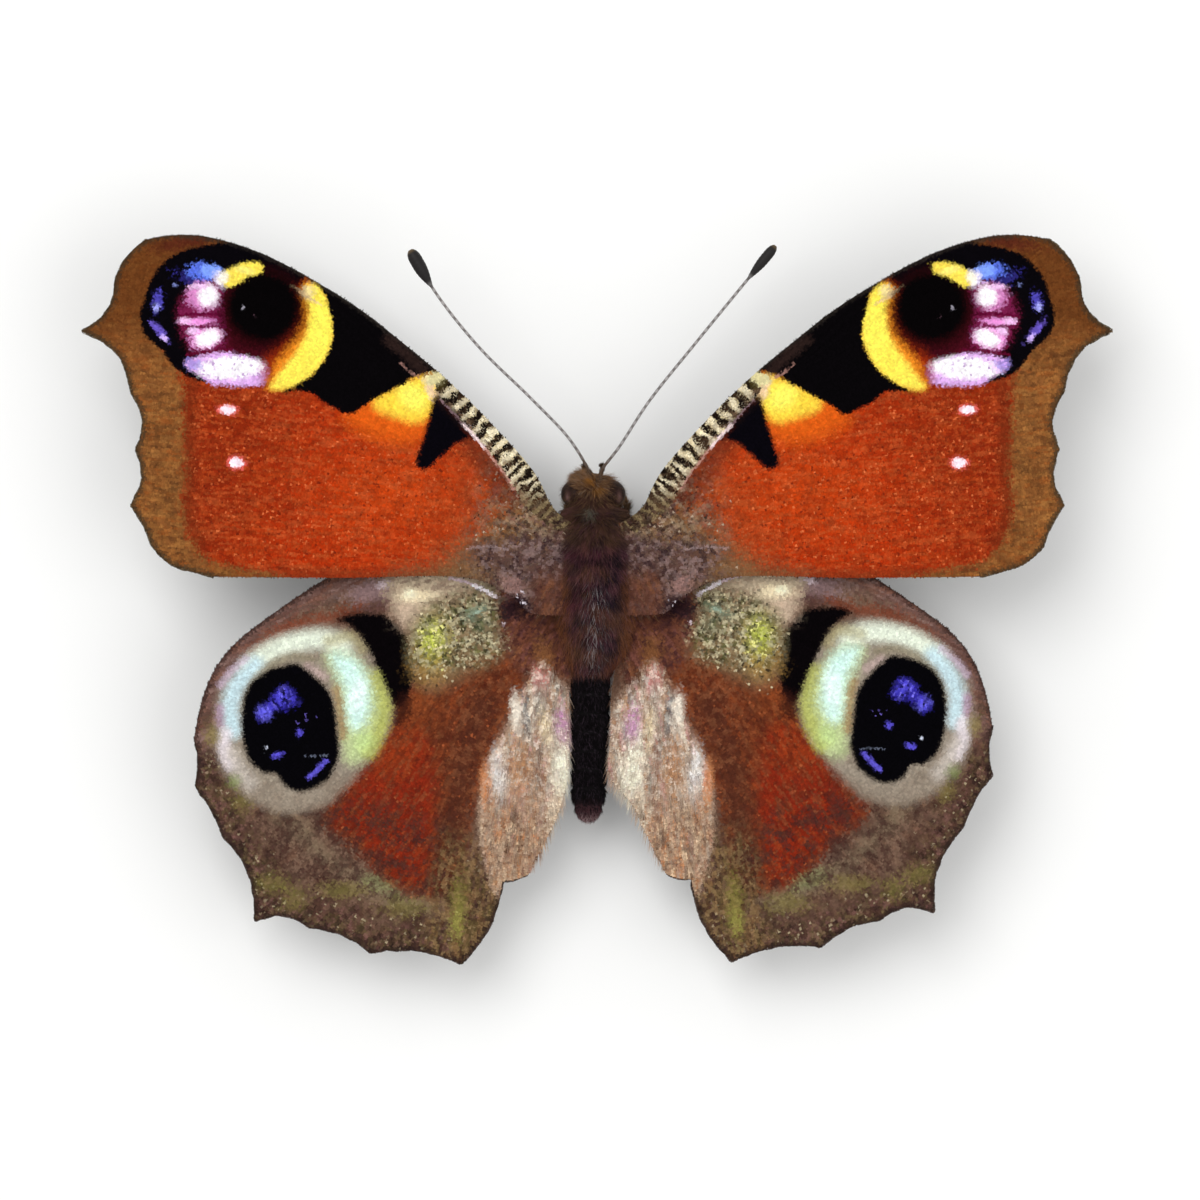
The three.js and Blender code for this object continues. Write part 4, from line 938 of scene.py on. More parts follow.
def paint_ocellus(c):
    """The large blue eyespot, its pale ring and the black crescent beside it."""
    x, y = c.p.T
    halo = [(15.6, -1.6), (17.2, -1.8), (18.8, -2.35), (20.3, -3.25), (21.5, -4.5), (22.1, -6.0),
            (22.1, -8.4), (21.5, -10.2), (20.3, -11.5), (18.6, -12.3), (16.6, -12.1), (14.6, -10.8),
            (13.2, -9.0), (12.1, -7.2), (11.85, -5.6), (12.4, -4.0), (13.0, -2.8), (14.2, -2.0)]
    c.blot(halo, (156, 144, 128), 0.5, 0.12)
    inner = smoothstep(-0.4, 0.6, c.depth(halo, 0.8))
    c.mottle(inner, 0.6, (120, 100, 84), 0.4)
    for line in (
        ([(20.2, -3.9), (19.2, -3.15), (18.0, -2.6), (16.2, -2.3), (14.8, -2.7)],
         0.55, (232, 240, 222), 0.8, 0.12, 0.95),
        ([(15.6, -2.4), (14.3, -2.2), (13.6, -2.8)], 0.35, (176, 166, 118), 0.9, 0.2, 0.6),
        ([(21.2, -7.6), (21.3, -6.2), (20.9, -5.0), (19.9, -3.8)], 0.52, (200, 224, 230), 0.8, 0.12, 0.95),
        ([(21.9, -5.0), (21.3, -4.2), (20.4, -3.4)], 0.2, (206, 186, 206), 0.8, 0.2, 0.6),
        ([(21.9, -6.3), (21.9, -7.3)], 0.24, (180, 140, 170), 0.8, 0.2, 0.6),
        ([(21.6, -7.8), (21.65, -8.8), (21.3, -9.6)], 0.36, (232, 222, 226), 0.8, 0.16, 0.85),
        ([(21.2, -9.0), (20.8, -9.9), (20.1, -10.8)], 0.4, (196, 186, 176), 0.9, 0.2, 0.75),
        ([(20.5, -6.4), (20.0, -4.9), (19.0, -3.85), (17.7, -3.3), (16.6, -3.5)],
         0.24, (146, 136, 112), 0.9, 0.2, 0.75),
    ):
        c.line(*line)
    c.blot([(15.8, -3.3), (14.4, -3.2), (13.2, -4.3), (12.5, -6.0), (12.8, -8.0), (13.7, -9.4),
            (14.7, -9.3), (14.8, -7.0), (15.1, -5.0)], (192, 206, 150), 0.55, 0.12)
    c.blot([(15.5, -3.3), (14.2, -3.4), (13.4, -4.7), (13.3, -6.4), (13.9, -7.5), (14.5, -7.1),
            (14.7, -5.2)], (216, 246, 236), 0.5, 0.1)
    c.spot((13.95, -5.6), (0.45, 0.9), (238, 255, 250), 10, 0.7, 0.1, 0.8)
    c.line([(12.7, -4.4), (12.35, -6.0), (12.6, -7.4), (13.3, -8.8)], 0.42, (184, 190, 92), 0.9, 0.3, 0.75)
    c.spot((13.6, -8.3), (0.5, 0.6), (202, 226, 152), 20, 0.8, 0.2, 0.7)
    c.line([(15.2, -5.2), (14.95, -6.6), (14.85, -8.0)], 0.24, (164, 126, 76), 0.9, 0.3, 0.6)
    c.line([(16.8, -3.9), (15.9, -4.5)], 0.24, (196, 170, 166), 0.9, 0.3, 0.6)
    c.line([(19.6, -11.2), (17.8, -11.9), (15.8, -11.5)], 0.45, (150, 136, 120), 0.8, 0.3, 0.6)
    c.spot((21.1, -10.6), (0.35, 0.35), (126, 146, 80), 0, 0.7, 0.4, 0.5)
    c.spot((22.4, -7.9), (0.4, 0.6), (146, 132, 80), 0, 0.7, 0.4, 0.6)
    c.spot((22.7, -7.0), (0.3, 0.5), (84, 66, 52), 0, 0.7, 0.4, 0.6)
    pupil = [(17.4, -3.8), (16.4, -4.55), (15.6, -5.5), (15.28, -6.6), (15.14, -8.0), (15.05, -8.95),
             (15.5, -10.2), (16.35, -10.9), (17.3, -11.15), (18.1, -10.85), (18.65, -10.15),
             (19.45, -10.05), (20.15, -9.4), (20.5, -8.5), (20.65, -7.1), (20.5, -5.7), (19.95, -4.75),
             (19.0, -4.1), (18.1, -3.85)]
    c.blot(pupil, (60, 48, 40), 0.3, 0.05)
    c.blot(pupil, (4, 3, 6), 0.14, 0.04)
    blue = [(19.7, -6.9), (19.6, -6.5), (19.2, -6.05), (18.7, -5.4), (18.15, -5.05), (17.7, -5.45),
            (17.4, -5.9), (17.55, -6.15), (18.35, -6.4), (18.8, -6.4), (19.3, -6.95)]
    c.blot(blue, (50, 42, 160), 0.22, 0.16)
    in_blue = smoothstep(-0.2, 0.3, c.depth(blue, 0.5))
    c.spot((19.35, -6.6), (0.4, 0.34), (116, 112, 250), 40, 0.7, 0.4, 0.8)
    c.spot((18.2, -5.7), (0.4, 0.4), (96, 90, 236), 0, 0.7, 0.4, 0.6)
    c.streaks(in_blue, [(130, 122, 250), (18, 14, 70), (84, 76, 220), (10, 8, 34)], 66, 0.4, 0.12, 0.9)
    c.specks(smoothstep(0.9, 0.2, np.hypot(x - 16.9, (y + 7.0) * 1.4)), (110, 96, 190), 0.14)
    for centre, half, turn in (((17.3, -7.8), (0.16, 0.2), 30), ((18.55, -9.05), (0.3, 0.16), -14)):
        c.spot(centre, half, (96, 86, 220), turn, 0.6, 0.4, 0.85)
    c.line([(16.75, -10.35), (16.3, -9.95), (15.8, -9.4)], 0.14, (100, 90, 212), 0.6, 0.4, 0.9)
    c.line([(17.0, -9.15), (16.1, -9.1), (15.5, -9.15)], 0.035, (120, 128, 150), 0.6, 0.3, 0.5)
    c.spot((19.2, -8.6), (0.07, 0.12), (200, 206, 224), 0, 0.5, 0.2)
    crescent = [(15.1, -1.15), (14.5, -1.4), (13.9, -1.9), (13.4, -2.7), (12.95, -3.6), (12.45, -4.6),
                (12.05, -5.6), (11.6, -6.3), (11.1, -5.8), (10.8, -4.8), (10.7, -3.7), (10.95, -2.7),
                (11.4, -1.8), (12.0, -1.15), (12.7, -0.85), (13.6, -0.8), (14.5, -0.9)]
    c.blot(crescent, (50, 26, 22), 0.5, 0.1, 0.85)
    c.blot(crescent, (6, 3, 5), 0.16, 0.06)
    c.blot([(11.1, -5.6), (11.8, -6.1), (11.7, -7.4), (10.9, -6.8)], (50, 22, 16), 0.4, 0.2, 0.8)


def paint_underside(c, wing):
    """The dark underside that hides the insect at rest: fine wavy lines over black brown."""
    p = c.p
    everywhere = np.ones(len(p))
    fan = np.array(wing.plan["fan"])
    r = np.hypot(*(p - fan).T) + c.wander(2.5, 0.7)
    waves = 0.5 + 0.5 * np.cos(2 * math.pi * r / 0.62 + 3 * c.noise(p[:, 0] / 1.5, p[:, 1] / 1.5))
    c.lay(0.55 * smoothstep(0.55, 0.9, waves), (14, 10, 10))
    c.streaks(everywhere, [(74, 62, 54), (24, 18, 17)], 70, 0.9, 0.3, 0.5)
    reach = r / np.hypot(*(wing.outline - fan).T).max()
    middle = np.exp(-(((reach - 0.62) / 0.05) ** 2))
    c.lay(0.8 * middle, (12, 8, 9))
    c.lay(0.35 * smoothstep(0.68, 0.95, reach), (70, 56, 46))
    rim = 1 - smoothstep(0.1, 0.5, distance(p, wing.margin) + c.grain * 0.2)
    c.lay(rim * 0.6, (30, 24, 24))
    if wing.plan is FOREWING:
        for k in range(7):
            c.line([(4.5 + 0.75 * k, 7.7 + 0.85 * k), (5.2 + 0.75 * k, 7.2 + 0.85 * k)], 0.09,
                   (150, 136, 110))
    else:
        c.spot((10.6, -4.4), (0.22, 0.2), (196, 188, 160), 0, 0.3, 0.3)


def painted(wing, p, seed, face, grain=True):
    """The colours of one side of a wing at places of its plan."""
    if face < 0:
        c = Canvas(p, (40, 32, 29), seed, grain)
        paint_underside(c, wing)
    elif wing.plan is FOREWING:
        c = Canvas(p, (178, 50, 12), seed, grain)
        paint_forewing(c, wing)
    else:
        c = Canvas(p, (118, 92, 76), seed, grain)
        paint_hindwing(c, wing)
    return np.clip(c.colour, 0, 1)


# Making pieces

def make_mesh(name, points, faces, colours, uv, smooth=False, round_trip=None):
    """A mesh from points in millimetres and faces, with a colour and a place on its unwrap for each point.

    round_trip is how far the unwrap goes along u in one turn round the piece.
    """
    faces = np.asarray(faces, np.int32)
    points = np.array(points, np.float32)
    points[:, 2] = np.maximum(points[:, 2], FLOOR_GAP)
    mesh = bpy.data.meshes.new(name)
    mesh.vertices.add(len(points))
    mesh.vertices.foreach_set("co", (points * MM).ravel())
    mesh.loops.add(faces.size)
    mesh.loops.foreach_set("vertex_index", faces.ravel())
    mesh.polygons.add(len(faces))
    mesh.polygons.foreach_set("loop_start", np.arange(len(faces), dtype=np.int32) * faces.shape[1])
    mesh.polygons.foreach_set("use_smooth", np.full(len(faces), smooth))
    mesh.update(calc_edges=True)
    layer = mesh.color_attributes.new("marks", "FLOAT_COLOR", "POINT")
    full = np.ones((len(points), 4), np.float32)
    full[:, :3] = colours
    layer.data.foreach_set("color", full.ravel())
    corners = np.asarray(uv, np.float32)[faces]
    if round_trip:
        across = corners[:, :, 0]
        across += round_trip * (across < across.max(1, keepdims=True) - round_trip / 2)
    layer = mesh.uv_layers.new(name="OFBake")
    layer.data.foreach_set("uv", corners.ravel())
    mesh.validate()
    thing = bpy.data.objects.new(name, mesh)
    bpy.context.collection.objects.link(thing)
    return thing


def dress(thing, material, replaces=()):
    """Gives a piece its material and the nodes that it stands for. All pieces ride on the root."""
    thing.data.materials.append(material)
    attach(thing, "root")
    if replaces:
        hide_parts(*replaces)
    return thing


def finish_material(name, roughness, specular, bump=0.0, bump_scale=4000.0, vary=0.15, vary_scale=900.0):
    """A surface whose colour comes from the piece's marks, varied and roughened by noise.

    vary is how far the noise lightens and darkens it. The scales are the noises' waves to the metre.
    """
    material = bpy.data.materials.new(name)
    material.use_nodes = True
    nodes, links = material.node_tree.nodes, material.node_tree.links
    shader = nodes["Principled BSDF"]
    shader.inputs["Roughness"].default_value = roughness
    shader.inputs["Specular IOR Level"].default_value = specular
    place = nodes.new("ShaderNodeTexCoord").outputs["Object"]
    grain = nodes.new("ShaderNodeTexNoise")
    grain.inputs["Scale"].default_value = vary_scale
    grain.inputs["Detail"].default_value = 3
    links.new(place, grain.inputs["Vector"])
    strength = nodes.new("ShaderNodeMapRange")
    strength.inputs["From Min"].default_value = 0.3
    strength.inputs["From Max"].default_value = 0.7
    strength.inputs["To Min"].default_value = 1 - vary
    strength.inputs["To Max"].default_value = 1 + vary
    links.new(grain.outputs["Fac"], strength.inputs["Value"])
    tint = nodes.new("ShaderNodeVectorMath")
    tint.operation = "SCALE"
    marks = nodes.new("ShaderNodeVertexColor")
    marks.layer_name = "marks"
    links.new(marks.outputs["Color"], tint.inputs["Vector"])
    links.new(strength.outputs["Result"], tint.inputs["Scale"])
    links.new(tint.outputs["Vector"], shader.inputs["Base Color"])
    if bump:
        fine = nodes.new("ShaderNodeTexNoise")
        fine.inputs["Scale"].default_value = bump_scale
        links.new(place, fine.inputs["Vector"])
        push = nodes.new("ShaderNodeBump")
        push.inputs["Strength"].default_value = bump
        push.inputs["Distance"].default_value = BUMP_DEPTH
        links.new(fine.outputs["Fac"], push.inputs["Height"])
        links.new(push.outputs["Normal"], shader.inputs["Normal"])
    return material


# Wings

def membrane(wing, material):
    """The wing's own sheet with its veins raised in it, closed round the edge."""
    pitch = 0.34
    vein_pitch = 0.26
    off_vein = 0.22
    off_edge = 0.16
    crest_off_edge = 0.1
    crest_apart = 0.07
    outline = wing.outline
    low, high = outline.min(0), outline.max(0)
    gx, gy = np.meshgrid(np.arange(low[0], high[0], pitch), np.arange(low[1], high[1], pitch))
    gx = gx + (np.arange(len(gy)) % 2)[:, None] * pitch / 2
    fill = np.stack([gx.ravel(), gy.ravel()], 1)
    fill = fill[inside(fill, outline)]
    edge_tree = KDTree(len(outline))
    for k, q in enumerate(outline):
        edge_tree.insert((q[0], q[1], 0), k)
    edge_tree.balance()
    clear = lambda pts, d: pts[np.array([edge_tree.find((a, b, 0))[2] > d for a, b in pts], bool)]
    away, _ = wing.nearest_vein(fill)
    fill = clear(fill[away > off_vein], off_edge)
    lines = []
    for vein in wing.veins:
        path = Path(vein, 4 * len(vein))
        count = int(path.lengths[-1] / vein_pitch)
        on = path.at(np.linspace(0.01, 0.99, max(count, 3)))
        along = unit(np.gradient(on, axis=0))
        aside = np.stack([-along[:, 1], along[:, 0]], 1) * VEIN_WIDTH
        lines += [on, on + aside, on - aside]
    crests = np.concatenate(lines)
    crests = clear(crests[inside(crests, outline)], crest_off_edge)
    keep = np.unique(np.round(crests / crest_apart).astype(int), axis=0, return_index=True)[1]
    crests = crests[keep]
    every = np.concatenate([outline, crests, fill])
    n = len(outline)
    border = [(k, (k + 1) % n) for k in range(n)]
    flat, _, faces, *_ = delaunay_2d_cdt([tuple(q) for q in every], border, [], 1, 1e-5)
    flat = np.array([tuple(q) for q in flat])
    faces = np.array([f for f in faces if len(f) == 3])
    a, b, c = (flat[faces[:, k]] for k in range(3))
    area = (b[:, 0] - a[:, 0]) * (c[:, 1] - a[:, 1]) - (b[:, 1] - a[:, 1]) * (c[:, 0] - a[:, 0])
    faces[area < 0] = faces[area < 0][:, ::-1]
    if wing.side < 0:
        faces = faces[:, ::-1]
    count = len(flat)
    points = np.concatenate([wing.surface(flat, 1), wing.surface(flat, -1)])
    directed = np.concatenate([faces[:, [0, 1]], faces[:, [1, 2]], faces[:, [2, 0]]])
    there = {tuple(e) for e in directed.tolist()}
    rim = np.array([e for e in there if (e[1], e[0]) not in there])
    i, j = rim[:, 0], rim[:, 1]
    sides = np.concatenate([np.stack([i, i + count, j + count], 1), np.stack([i, j + count, j], 1)])
    whole = np.concatenate([faces, faces[:, ::-1] + count, sides])
    colours = np.concatenate([painted(wing, flat, 5, 1, False), painted(wing, flat, 6, -1, False)])
    half_sheet = wing.unwrap(flat) * [0.5, 1]
    uv = np.concatenate([half_sheet, half_sheet + [0.5, 0]])
    thing = make_mesh(f"wing_{wing.name}", points, whole, colours, uv, smooth=True)
    return dress(thing, material, (wing.name,))


def plates(name, wing, inner, way, length, width, levels, slope, colours, material):
    """Small closed plates on a wing: flat scales, widest at the tip, with the root sunk in the membrane.

    levels are the heights of a plate's four upper corners and of the point under its middle.
    """
    n = len(inner)
    col = lambda v: np.broadcast_to(v, (n,))[:, None]
    aside = np.stack([-way[:, 1], way[:, 0]], 1)
    corners = [
        inner - aside * col(width * 0.3),
        inner + way * col(length) - aside * col(width * 0.5),
        inner + way * col(length) + aside * col(width * 0.5),
        inner + aside * col(width * 0.3),
        inner + way * col(length * 0.5),
    ]
    points = np.empty((n, 5, 3))
    for k, (corner, z) in enumerate(zip(corners, levels)):
        points[:, k, :2] = wing.placed(corner)
        points[:, k, 2] = z + slope * (corner[:, 0] - inner[:, 0])
    shape = np.array([[0, 1, 2], [0, 2, 3], [0, 4, 1], [1, 4, 2], [2, 4, 3], [3, 4, 0]])
    turned = np.sign((levels[0] - levels[4]).mean()) * wing.side
    if turned < 0:
        shape = shape[:, ::-1]
    faces = (np.arange(n)[:, None, None] * 5 + shape).reshape(-1, 3)
    patch = np.array([[-1, -1], [1, -1], [1, 1], [-1, 1], [0, 0]]) * UV_PATCH / 2
    uv = (wing.unwrap(inner)[:, None] + patch).reshape(-1, 2)
    thing = make_mesh(name, points.reshape(-1, 3), faces, np.repeat(np.clip(colours, 0, 1), 5, 0), uv)
    return dress(thing, material)


def wing_slope(wing, p):
    """How steeply the wing rises outward at places of its plan."""
    return WING_RISE - 2 * WING_CAMBER * np.maximum(0, p[:, 0] - wing.level)


def scale_coat(wing, face, pitch, seed, material):
    """One side's coat: small plates in rows, each lifted at its tip."""
    rng = np.random.default_rng(seed)
    p = wing.lattice(pitch, seed)
    n = len(p)
    grow = (pitch / SCALE["pitch"]) ** SCALE["growth"]
    length = SCALE["length"] * grow * varied(rng, n, 0.85, 0.3)
    width = SCALE["width"] * grow * varied(rng, n, 0.85, 0.3)
    if wing.plan is FOREWING and face > 0:
        fine = in_costal_strip(p) > 0
        length = np.where(fine, length * SCALE["strip_length"], length)
        width = np.where(fine, width * SCALE["strip_width"], width)
    room = distance(p, np.concatenate([wing.outline, wing.outline[:1]]))
    length = np.minimum(length, np.maximum(SCALE["shortest"], room))
    turn = jitter(rng, n, 0.35)
    way = wing.outward(p)
    c, s = np.cos(turn), np.sin(turn)
    way = np.stack([way[:, 0] * c - way[:, 1] * s, way[:, 0] * s + way[:, 1] * c], 1)
    middle, half = wing.levels(p)
    root = middle + face * (half + SCALE["off_skin"])
    rise = face * SCALE["lift"] * varied(rng, n, 0.7, 0.9)
    tilt = jitter(rng, n, SCALE["tilt"])
    levels = [root, root + rise + tilt, root + rise - tilt, root, root - face * SCALE["root"]]
    seen_part = p + way * length[:, None] * 0.65
    colours = painted(wing, seen_part, seed + 11, face) * varied(rng, (n, 1), 0.84, 0.32)
    side_name = "upper" if face > 0 else "lower"
    return plates(f"scales_{side_name}_{wing.name}", wing, p, way, length, width, levels, wing_slope(wing, p),
                  colours, material)


def fringe(wing, seed, material):
    """Narrow scales that stand out past the margin."""
    rng = np.random.default_rng(seed)
    smooth = wing.plan["smooth_rays"] * MARGIN_STEPS
    path = Path(wing.margin[smooth:], 8 * len(wing.margin))
    n = int(path.lengths[-1] / FRINGE["pitch"])
    share = (np.arange(n) + rng.random(n)) / n
    p = path.at(share)
    along = unit(path.at(share + 0.004) - path.at(share - 0.004))
    out = np.stack([along[:, 1], -along[:, 0]], 1)
    centre = wing.outline.mean(0)
    out = np.where(((p - centre) * out).sum(1)[:, None] > 0, out, -out)
    out = unit(out + 0.5 * wing.outward(p) + jitter(rng, (n, 2), 0.4))
    tufted = Noise(seed + 1)(share * path.lengths[-1] / FRINGE["tuft"], share * 3)
    length = FRINGE["length"] + 0.11 * tufted + 0.06 * rng.random(n)
    width = varied(rng, n, 0.05, 0.03)
    inner = p - out * FRINGE["length"]
    middle, _ = wing.levels(inner)
    level = middle + jitter(rng, n, MEMBRANE)
    levels = [level + z for z in FRINGE["levels"]]
    colours = linear(*wing.plan["fringe"]) * varied(rng, (n, 1), 0.3, 1.3)
    return plates(f"fringe_{wing.name}", wing, inner, out, length, width, levels, wing_slope(wing, inner),
                  colours, material)


def wing_hair(wing, count, seed, chance, way_at, colour_at, length, material):
    """Long hairs over the wing near the body, lying along the membrane."""
    off_margin = 0.05
    least_room = 0.15
    rng = np.random.default_rng(seed)
    low, high = wing.outline.min(0), wing.outline.max(0)
    p = low + (high - low) * rng.random((count * 20, 2))
    p = p[inside(p, wing.outline)]
    p = p[rng.random(len(p)) < chance(p)][:count]
    room = distance(p, wing.margin) - off_margin
    p, room = p[room > least_room], room[room > least_room]
    n = len(p)
    way = unit(way_at(p) + jitter(rng, (n, 2), 0.35))
    long = np.minimum(length * varied(rng, n, 0.5, 0.8), room)
    root = wing.surface(p, 1)
    along = unit(wing.surface(p + way * long[:, None], 1) - root)
    normal = np.tile([0.0, 0.0, 1.0], (n, 1))
    normal = unit(normal - (normal * along).sum(1)[:, None] * along)
    colours = colour_at(p, rng) * varied(rng, (n, 1), 0.75, 0.5)
    width = varied(rng, n, 0.028, 0.02)
    lift = varied(rng, n, 0.07, 0.1)
    return tufts(f"hair_{wing.name}", root, normal, along, long, width, lift, colours, wing.unwrap(p),
                 material)


def mixed(choices, rng, n):
    """Colours for n places, each one of the choices at random."""
    picked = rng.integers(0, len(choices), n)
    return np.array([linear(*c) for c in choices])[picked]


def forewing_hair(wing, count, seed, material):
    """Brown hairs that fan out over the root."""
    chance = lambda p: 1 - smoothstep(2.4, 5.6, p[:, 0] + 0.25 * np.abs(p[:, 1] - 2))
    way = lambda p: unit(p - np.array([0.0, 3.2])) + np.array([0.2, -0.55])
    tints = [(84, 58, 44), (110, 80, 58), (60, 42, 40), (132, 106, 78), (104, 76, 76)]
    colour = lambda p, rng: mixed(tints, rng, len(p))
    wing_hair(wing, count, seed, chance, way, colour, 0.8, material)


def hindwing_hair(wing, count, seed, material):
    """Hairs over the root and, paler and denser, over the field along the body, where they lie back."""

    def in_field(p):
        return smoothstep(-0.2, 0.6, Canvas(p, (0, 0, 0), seed).depth(ANAL_FIELD, 0.7))

    def chance(p):
        base = (1 - smoothstep(2.2, 4.8, p[:, 0])) * smoothstep(-6.5, -4.5, p[:, 1]) * 0.5
        return np.maximum(base, in_field(p) * (1 - 0.4 * smoothstep(-11.0, -13.0, p[:, 1])))

    def way(p):
        back = smoothstep(-1.0, -5.0, p[:, 1])[:, None]
        out = 0.1 * (p[:, :1] - 4.0)
        return (1 - back) * unit(p - np.array([0.0, 1.5])) + back * np.concatenate([out, out * 0 - 1.0], 1)

    def colour(p, rng):
        tints = [(240, 232, 214), (220, 200, 180), (214, 176, 180), (190, 150, 112), (166, 156, 144)]
        pale = mixed(tints, rng, len(p))
        share = in_field(p)[:, None] * 0.2
        return painted(wing, p, seed + 7, 1) * (1 - share) + pale * share

    wing_hair(wing, count, seed, chance, way, colour, 0.9, material)


def tufts(name, root, normal, along, length, width, lift, colours, uv, material):
    """Thin tapering hairs: each is a closed spike of three sides, rooted under the surface."""
    n = len(root)
    col = lambda v: np.broadcast_to(v, (n,))[:, None]
    aside = unit(np.cross(along, normal))
    length, width, lift = col(length), col(width) * TUFT["root_width"], col(lift)
    centre = root - normal * TUFT["root"]
    points = np.empty((n, 4, 3))
    points[:, 0] = centre - aside * width / 2
    points[:, 1] = centre + aside * width / 2
    points[:, 2] = centre + normal * width / 2
    points[:, 3] = root + along * length + normal * length * lift
    shape = np.array([[0, 1, 2], [0, 3, 1], [1, 3, 2], [2, 3, 0]])
    faces = (np.arange(n)[:, None, None] * 4 + shape).reshape(-1, 3)
    patch = np.array([(-1, -1), (1, -1), (0, -0.6), (0, 1)]) * UV_PATCH / 2
    uv = (uv[:, None] + patch).reshape(-1, 2)
    # Painted shade and light: each tuft's root corners are darkened and its tip is lightened
    with_painted_shade = (colours[:, None] * np.array(TUFT["painted_shading"])[None, :, None]).reshape(-1, 3)
    thing = make_mesh(name, points.reshape(-1, 3), faces, np.clip(with_painted_shade, 0, 1), uv)
    return dress(thing, material)


# Body

# The skin from the front of the head to the tip of the abdomen: place along the body, the middle's
# x and z, half width and half height
BODY = [
    (7.46, -0.3, 4.9, 0.04, 0.04), (7.4, -0.3, 4.9, 0.42, 0.5), (7.15, -0.28, 4.92, 0.8, 0.9),
    (6.7, -0.25, 4.95, 1.05, 1.14), (6.1, -0.25, 4.95, 1.16, 1.2), (5.6, -0.25, 4.95, 1.35, 1.2),
    (5.2, -0.22, 4.95, 1.55, 1.35), (4.85, -0.18, 4.98, 1.7, 1.55), (4.3, -0.14, 5.0, 1.86, 1.76),
    (3.4, -0.12, 5.0, 2.02, 2.02), (1.4, -0.1, 5.0, 2.16, 2.18), (-1.0, -0.1, 5.0, 2.12, 2.14),
    (-2.8, -0.16, 4.95, 1.8, 1.8), (-3.7, -0.3, 4.8, 1.35, 1.34), (-4.2, -0.4, 4.65, 1.12, 1.1),
    (-5.0, -0.43, 4.58, 1.12, 1.1), (-7.0, -0.46, 4.4, 1.1, 1.09), (-9.5, -0.5, 4.25, 1.04, 1.04),
    (-11.3, -0.53, 4.1, 0.97, 0.97), (-12.2, -0.54, 4.05, 0.8, 0.82), (-12.75, -0.55, 4.0, 0.52, 0.55),
    (-12.98, -0.55, 4.0, 0.2, 0.2), (-13.0, -0.55, 4.0, 0.03, 0.03),
]
SEGMENTS = 8
GROOVE = 0.07  # between two of the abdomen's segments
LENSES = 1300
EYE_HAIRS = 900
BODY_ROUND = 0.92  # the share of an unwrap that one turn round the piece takes
TUBE_ROUND = 0.2
EYE_ROUND = 0.9
BODY_SHEET = {"back": -13.2, "length": 21, "share": 0.92, "edge": 0.04}
TUBE_SHEET = {"share": 0.9, "edge": 0.05}

# The body's fur. A tuft lies the way that lie says, loosened by loose and turned out at the sides by out,
# and lift is how far it stands off for its length.
BACKWARD = (0.0, -1.0, 0.0)
FUR = {
    "thorax": {"count": 38000, "seed": 50, "reach": (4.4, -4.2), "length": 0.8, "width": 0.06, "lift": 0.32,
               "loose": 1.0, "out": 0.3, "lie": BACKWARD, "slot": "body"},
    "shoulders": {"count": 12000, "seed": 53, "reach": (5.6, 2.6), "length": 0.9, "width": 0.055,
                  "lift": 0.45, "loose": 1.1, "out": 0.8, "lie": BACKWARD, "slot": "body"},
    "head": {"count": 17000, "seed": 51, "reach": (7.3, 4.9), "length": 0.58, "width": 0.05, "lift": 0.7,
             "loose": 1.1, "out": 1.7, "lie": BACKWARD, "slot": "body"},
    "brow": {"count": 16000, "seed": 54, "reach": (7.42, 6.3), "length": 0.72, "width": 0.05, "lift": 0.5,
             "loose": 0.7, "out": 0.6, "lie": (-0.9, 0.55, 0.3), "slot": "body"},
    "abdomen": {"count": 28000, "seed": 52, "reach": (-3.7, -12.95), "length": 0.42, "width": 0.055,
                "lift": 0.2, "loose": 0.9, "out": 0.0, "lie": BACKWARD, "slot": "abdomen"},
}


class Body:
    """The skin's shape, each place on it found by its y and its turn from the top."""

    def __init__(self):
        rows = Path(BODY, 600).points
        self.y = rows[:, 0][::-1]
        self.rest = rows[:, 1:][::-1]

    def section(self, y):
        """Middle x and z, half width and half height at places along the body."""
        x, z, wide, tall = (np.interp(y, self.y, c) for c in self.rest.T)
        along = (ABDOMEN["front"] - y) / (ABDOMEN["front"] - ABDOMEN["back"])
        groove = GROOVE * np.abs(np.cos(math.pi * along * SEGMENTS)) ** 8 * smoothstep(0.02, 0.06, along)
        groove = groove * (1 - smoothstep(0.85, 0.95, along))
        return x, z, np.maximum(0.02, wide - groove), np.maximum(0.02, tall - groove)

    def point(self, y, turn):
        """A place on the skin. turn is 0 at the top and grows towards the right."""
        x, z, wide, tall = self.section(y)
        return np.stack([x + wide * np.sin(turn), np.broadcast_to(y, x.shape), z + tall * np.cos(turn)], -1)

    def normal(self, y, turn):
        """The way out of the skin at a place on it."""
        step = 0.02
        along = self.point(y + step, turn) - self.point(y - step, turn)
        around = self.point(y, turn + step) - self.point(y, turn - step)
        n = unit(np.cross(around, along))
        return np.where(((n * (self.point(y, turn) - self.middle(y))).sum(-1) > 0)[..., None], n, -n)

    def middle(self, y):
        x, z, _, _ = self.section(y)
        return np.stack([x, np.broadcast_to(y, x.shape), z], -1)

    def unwrap(self, y, turn):
        """The skin cut along the belly and laid out flat."""
        sheet = BODY_SHEET
        u = ((turn / (2 * math.pi) + 0.5) % 1) * BODY_ROUND
        v = (y - sheet["back"]) / sheet["length"] * sheet["share"]
        return np.stack([u, v], -1) + sheet["edge"]


body = Body()


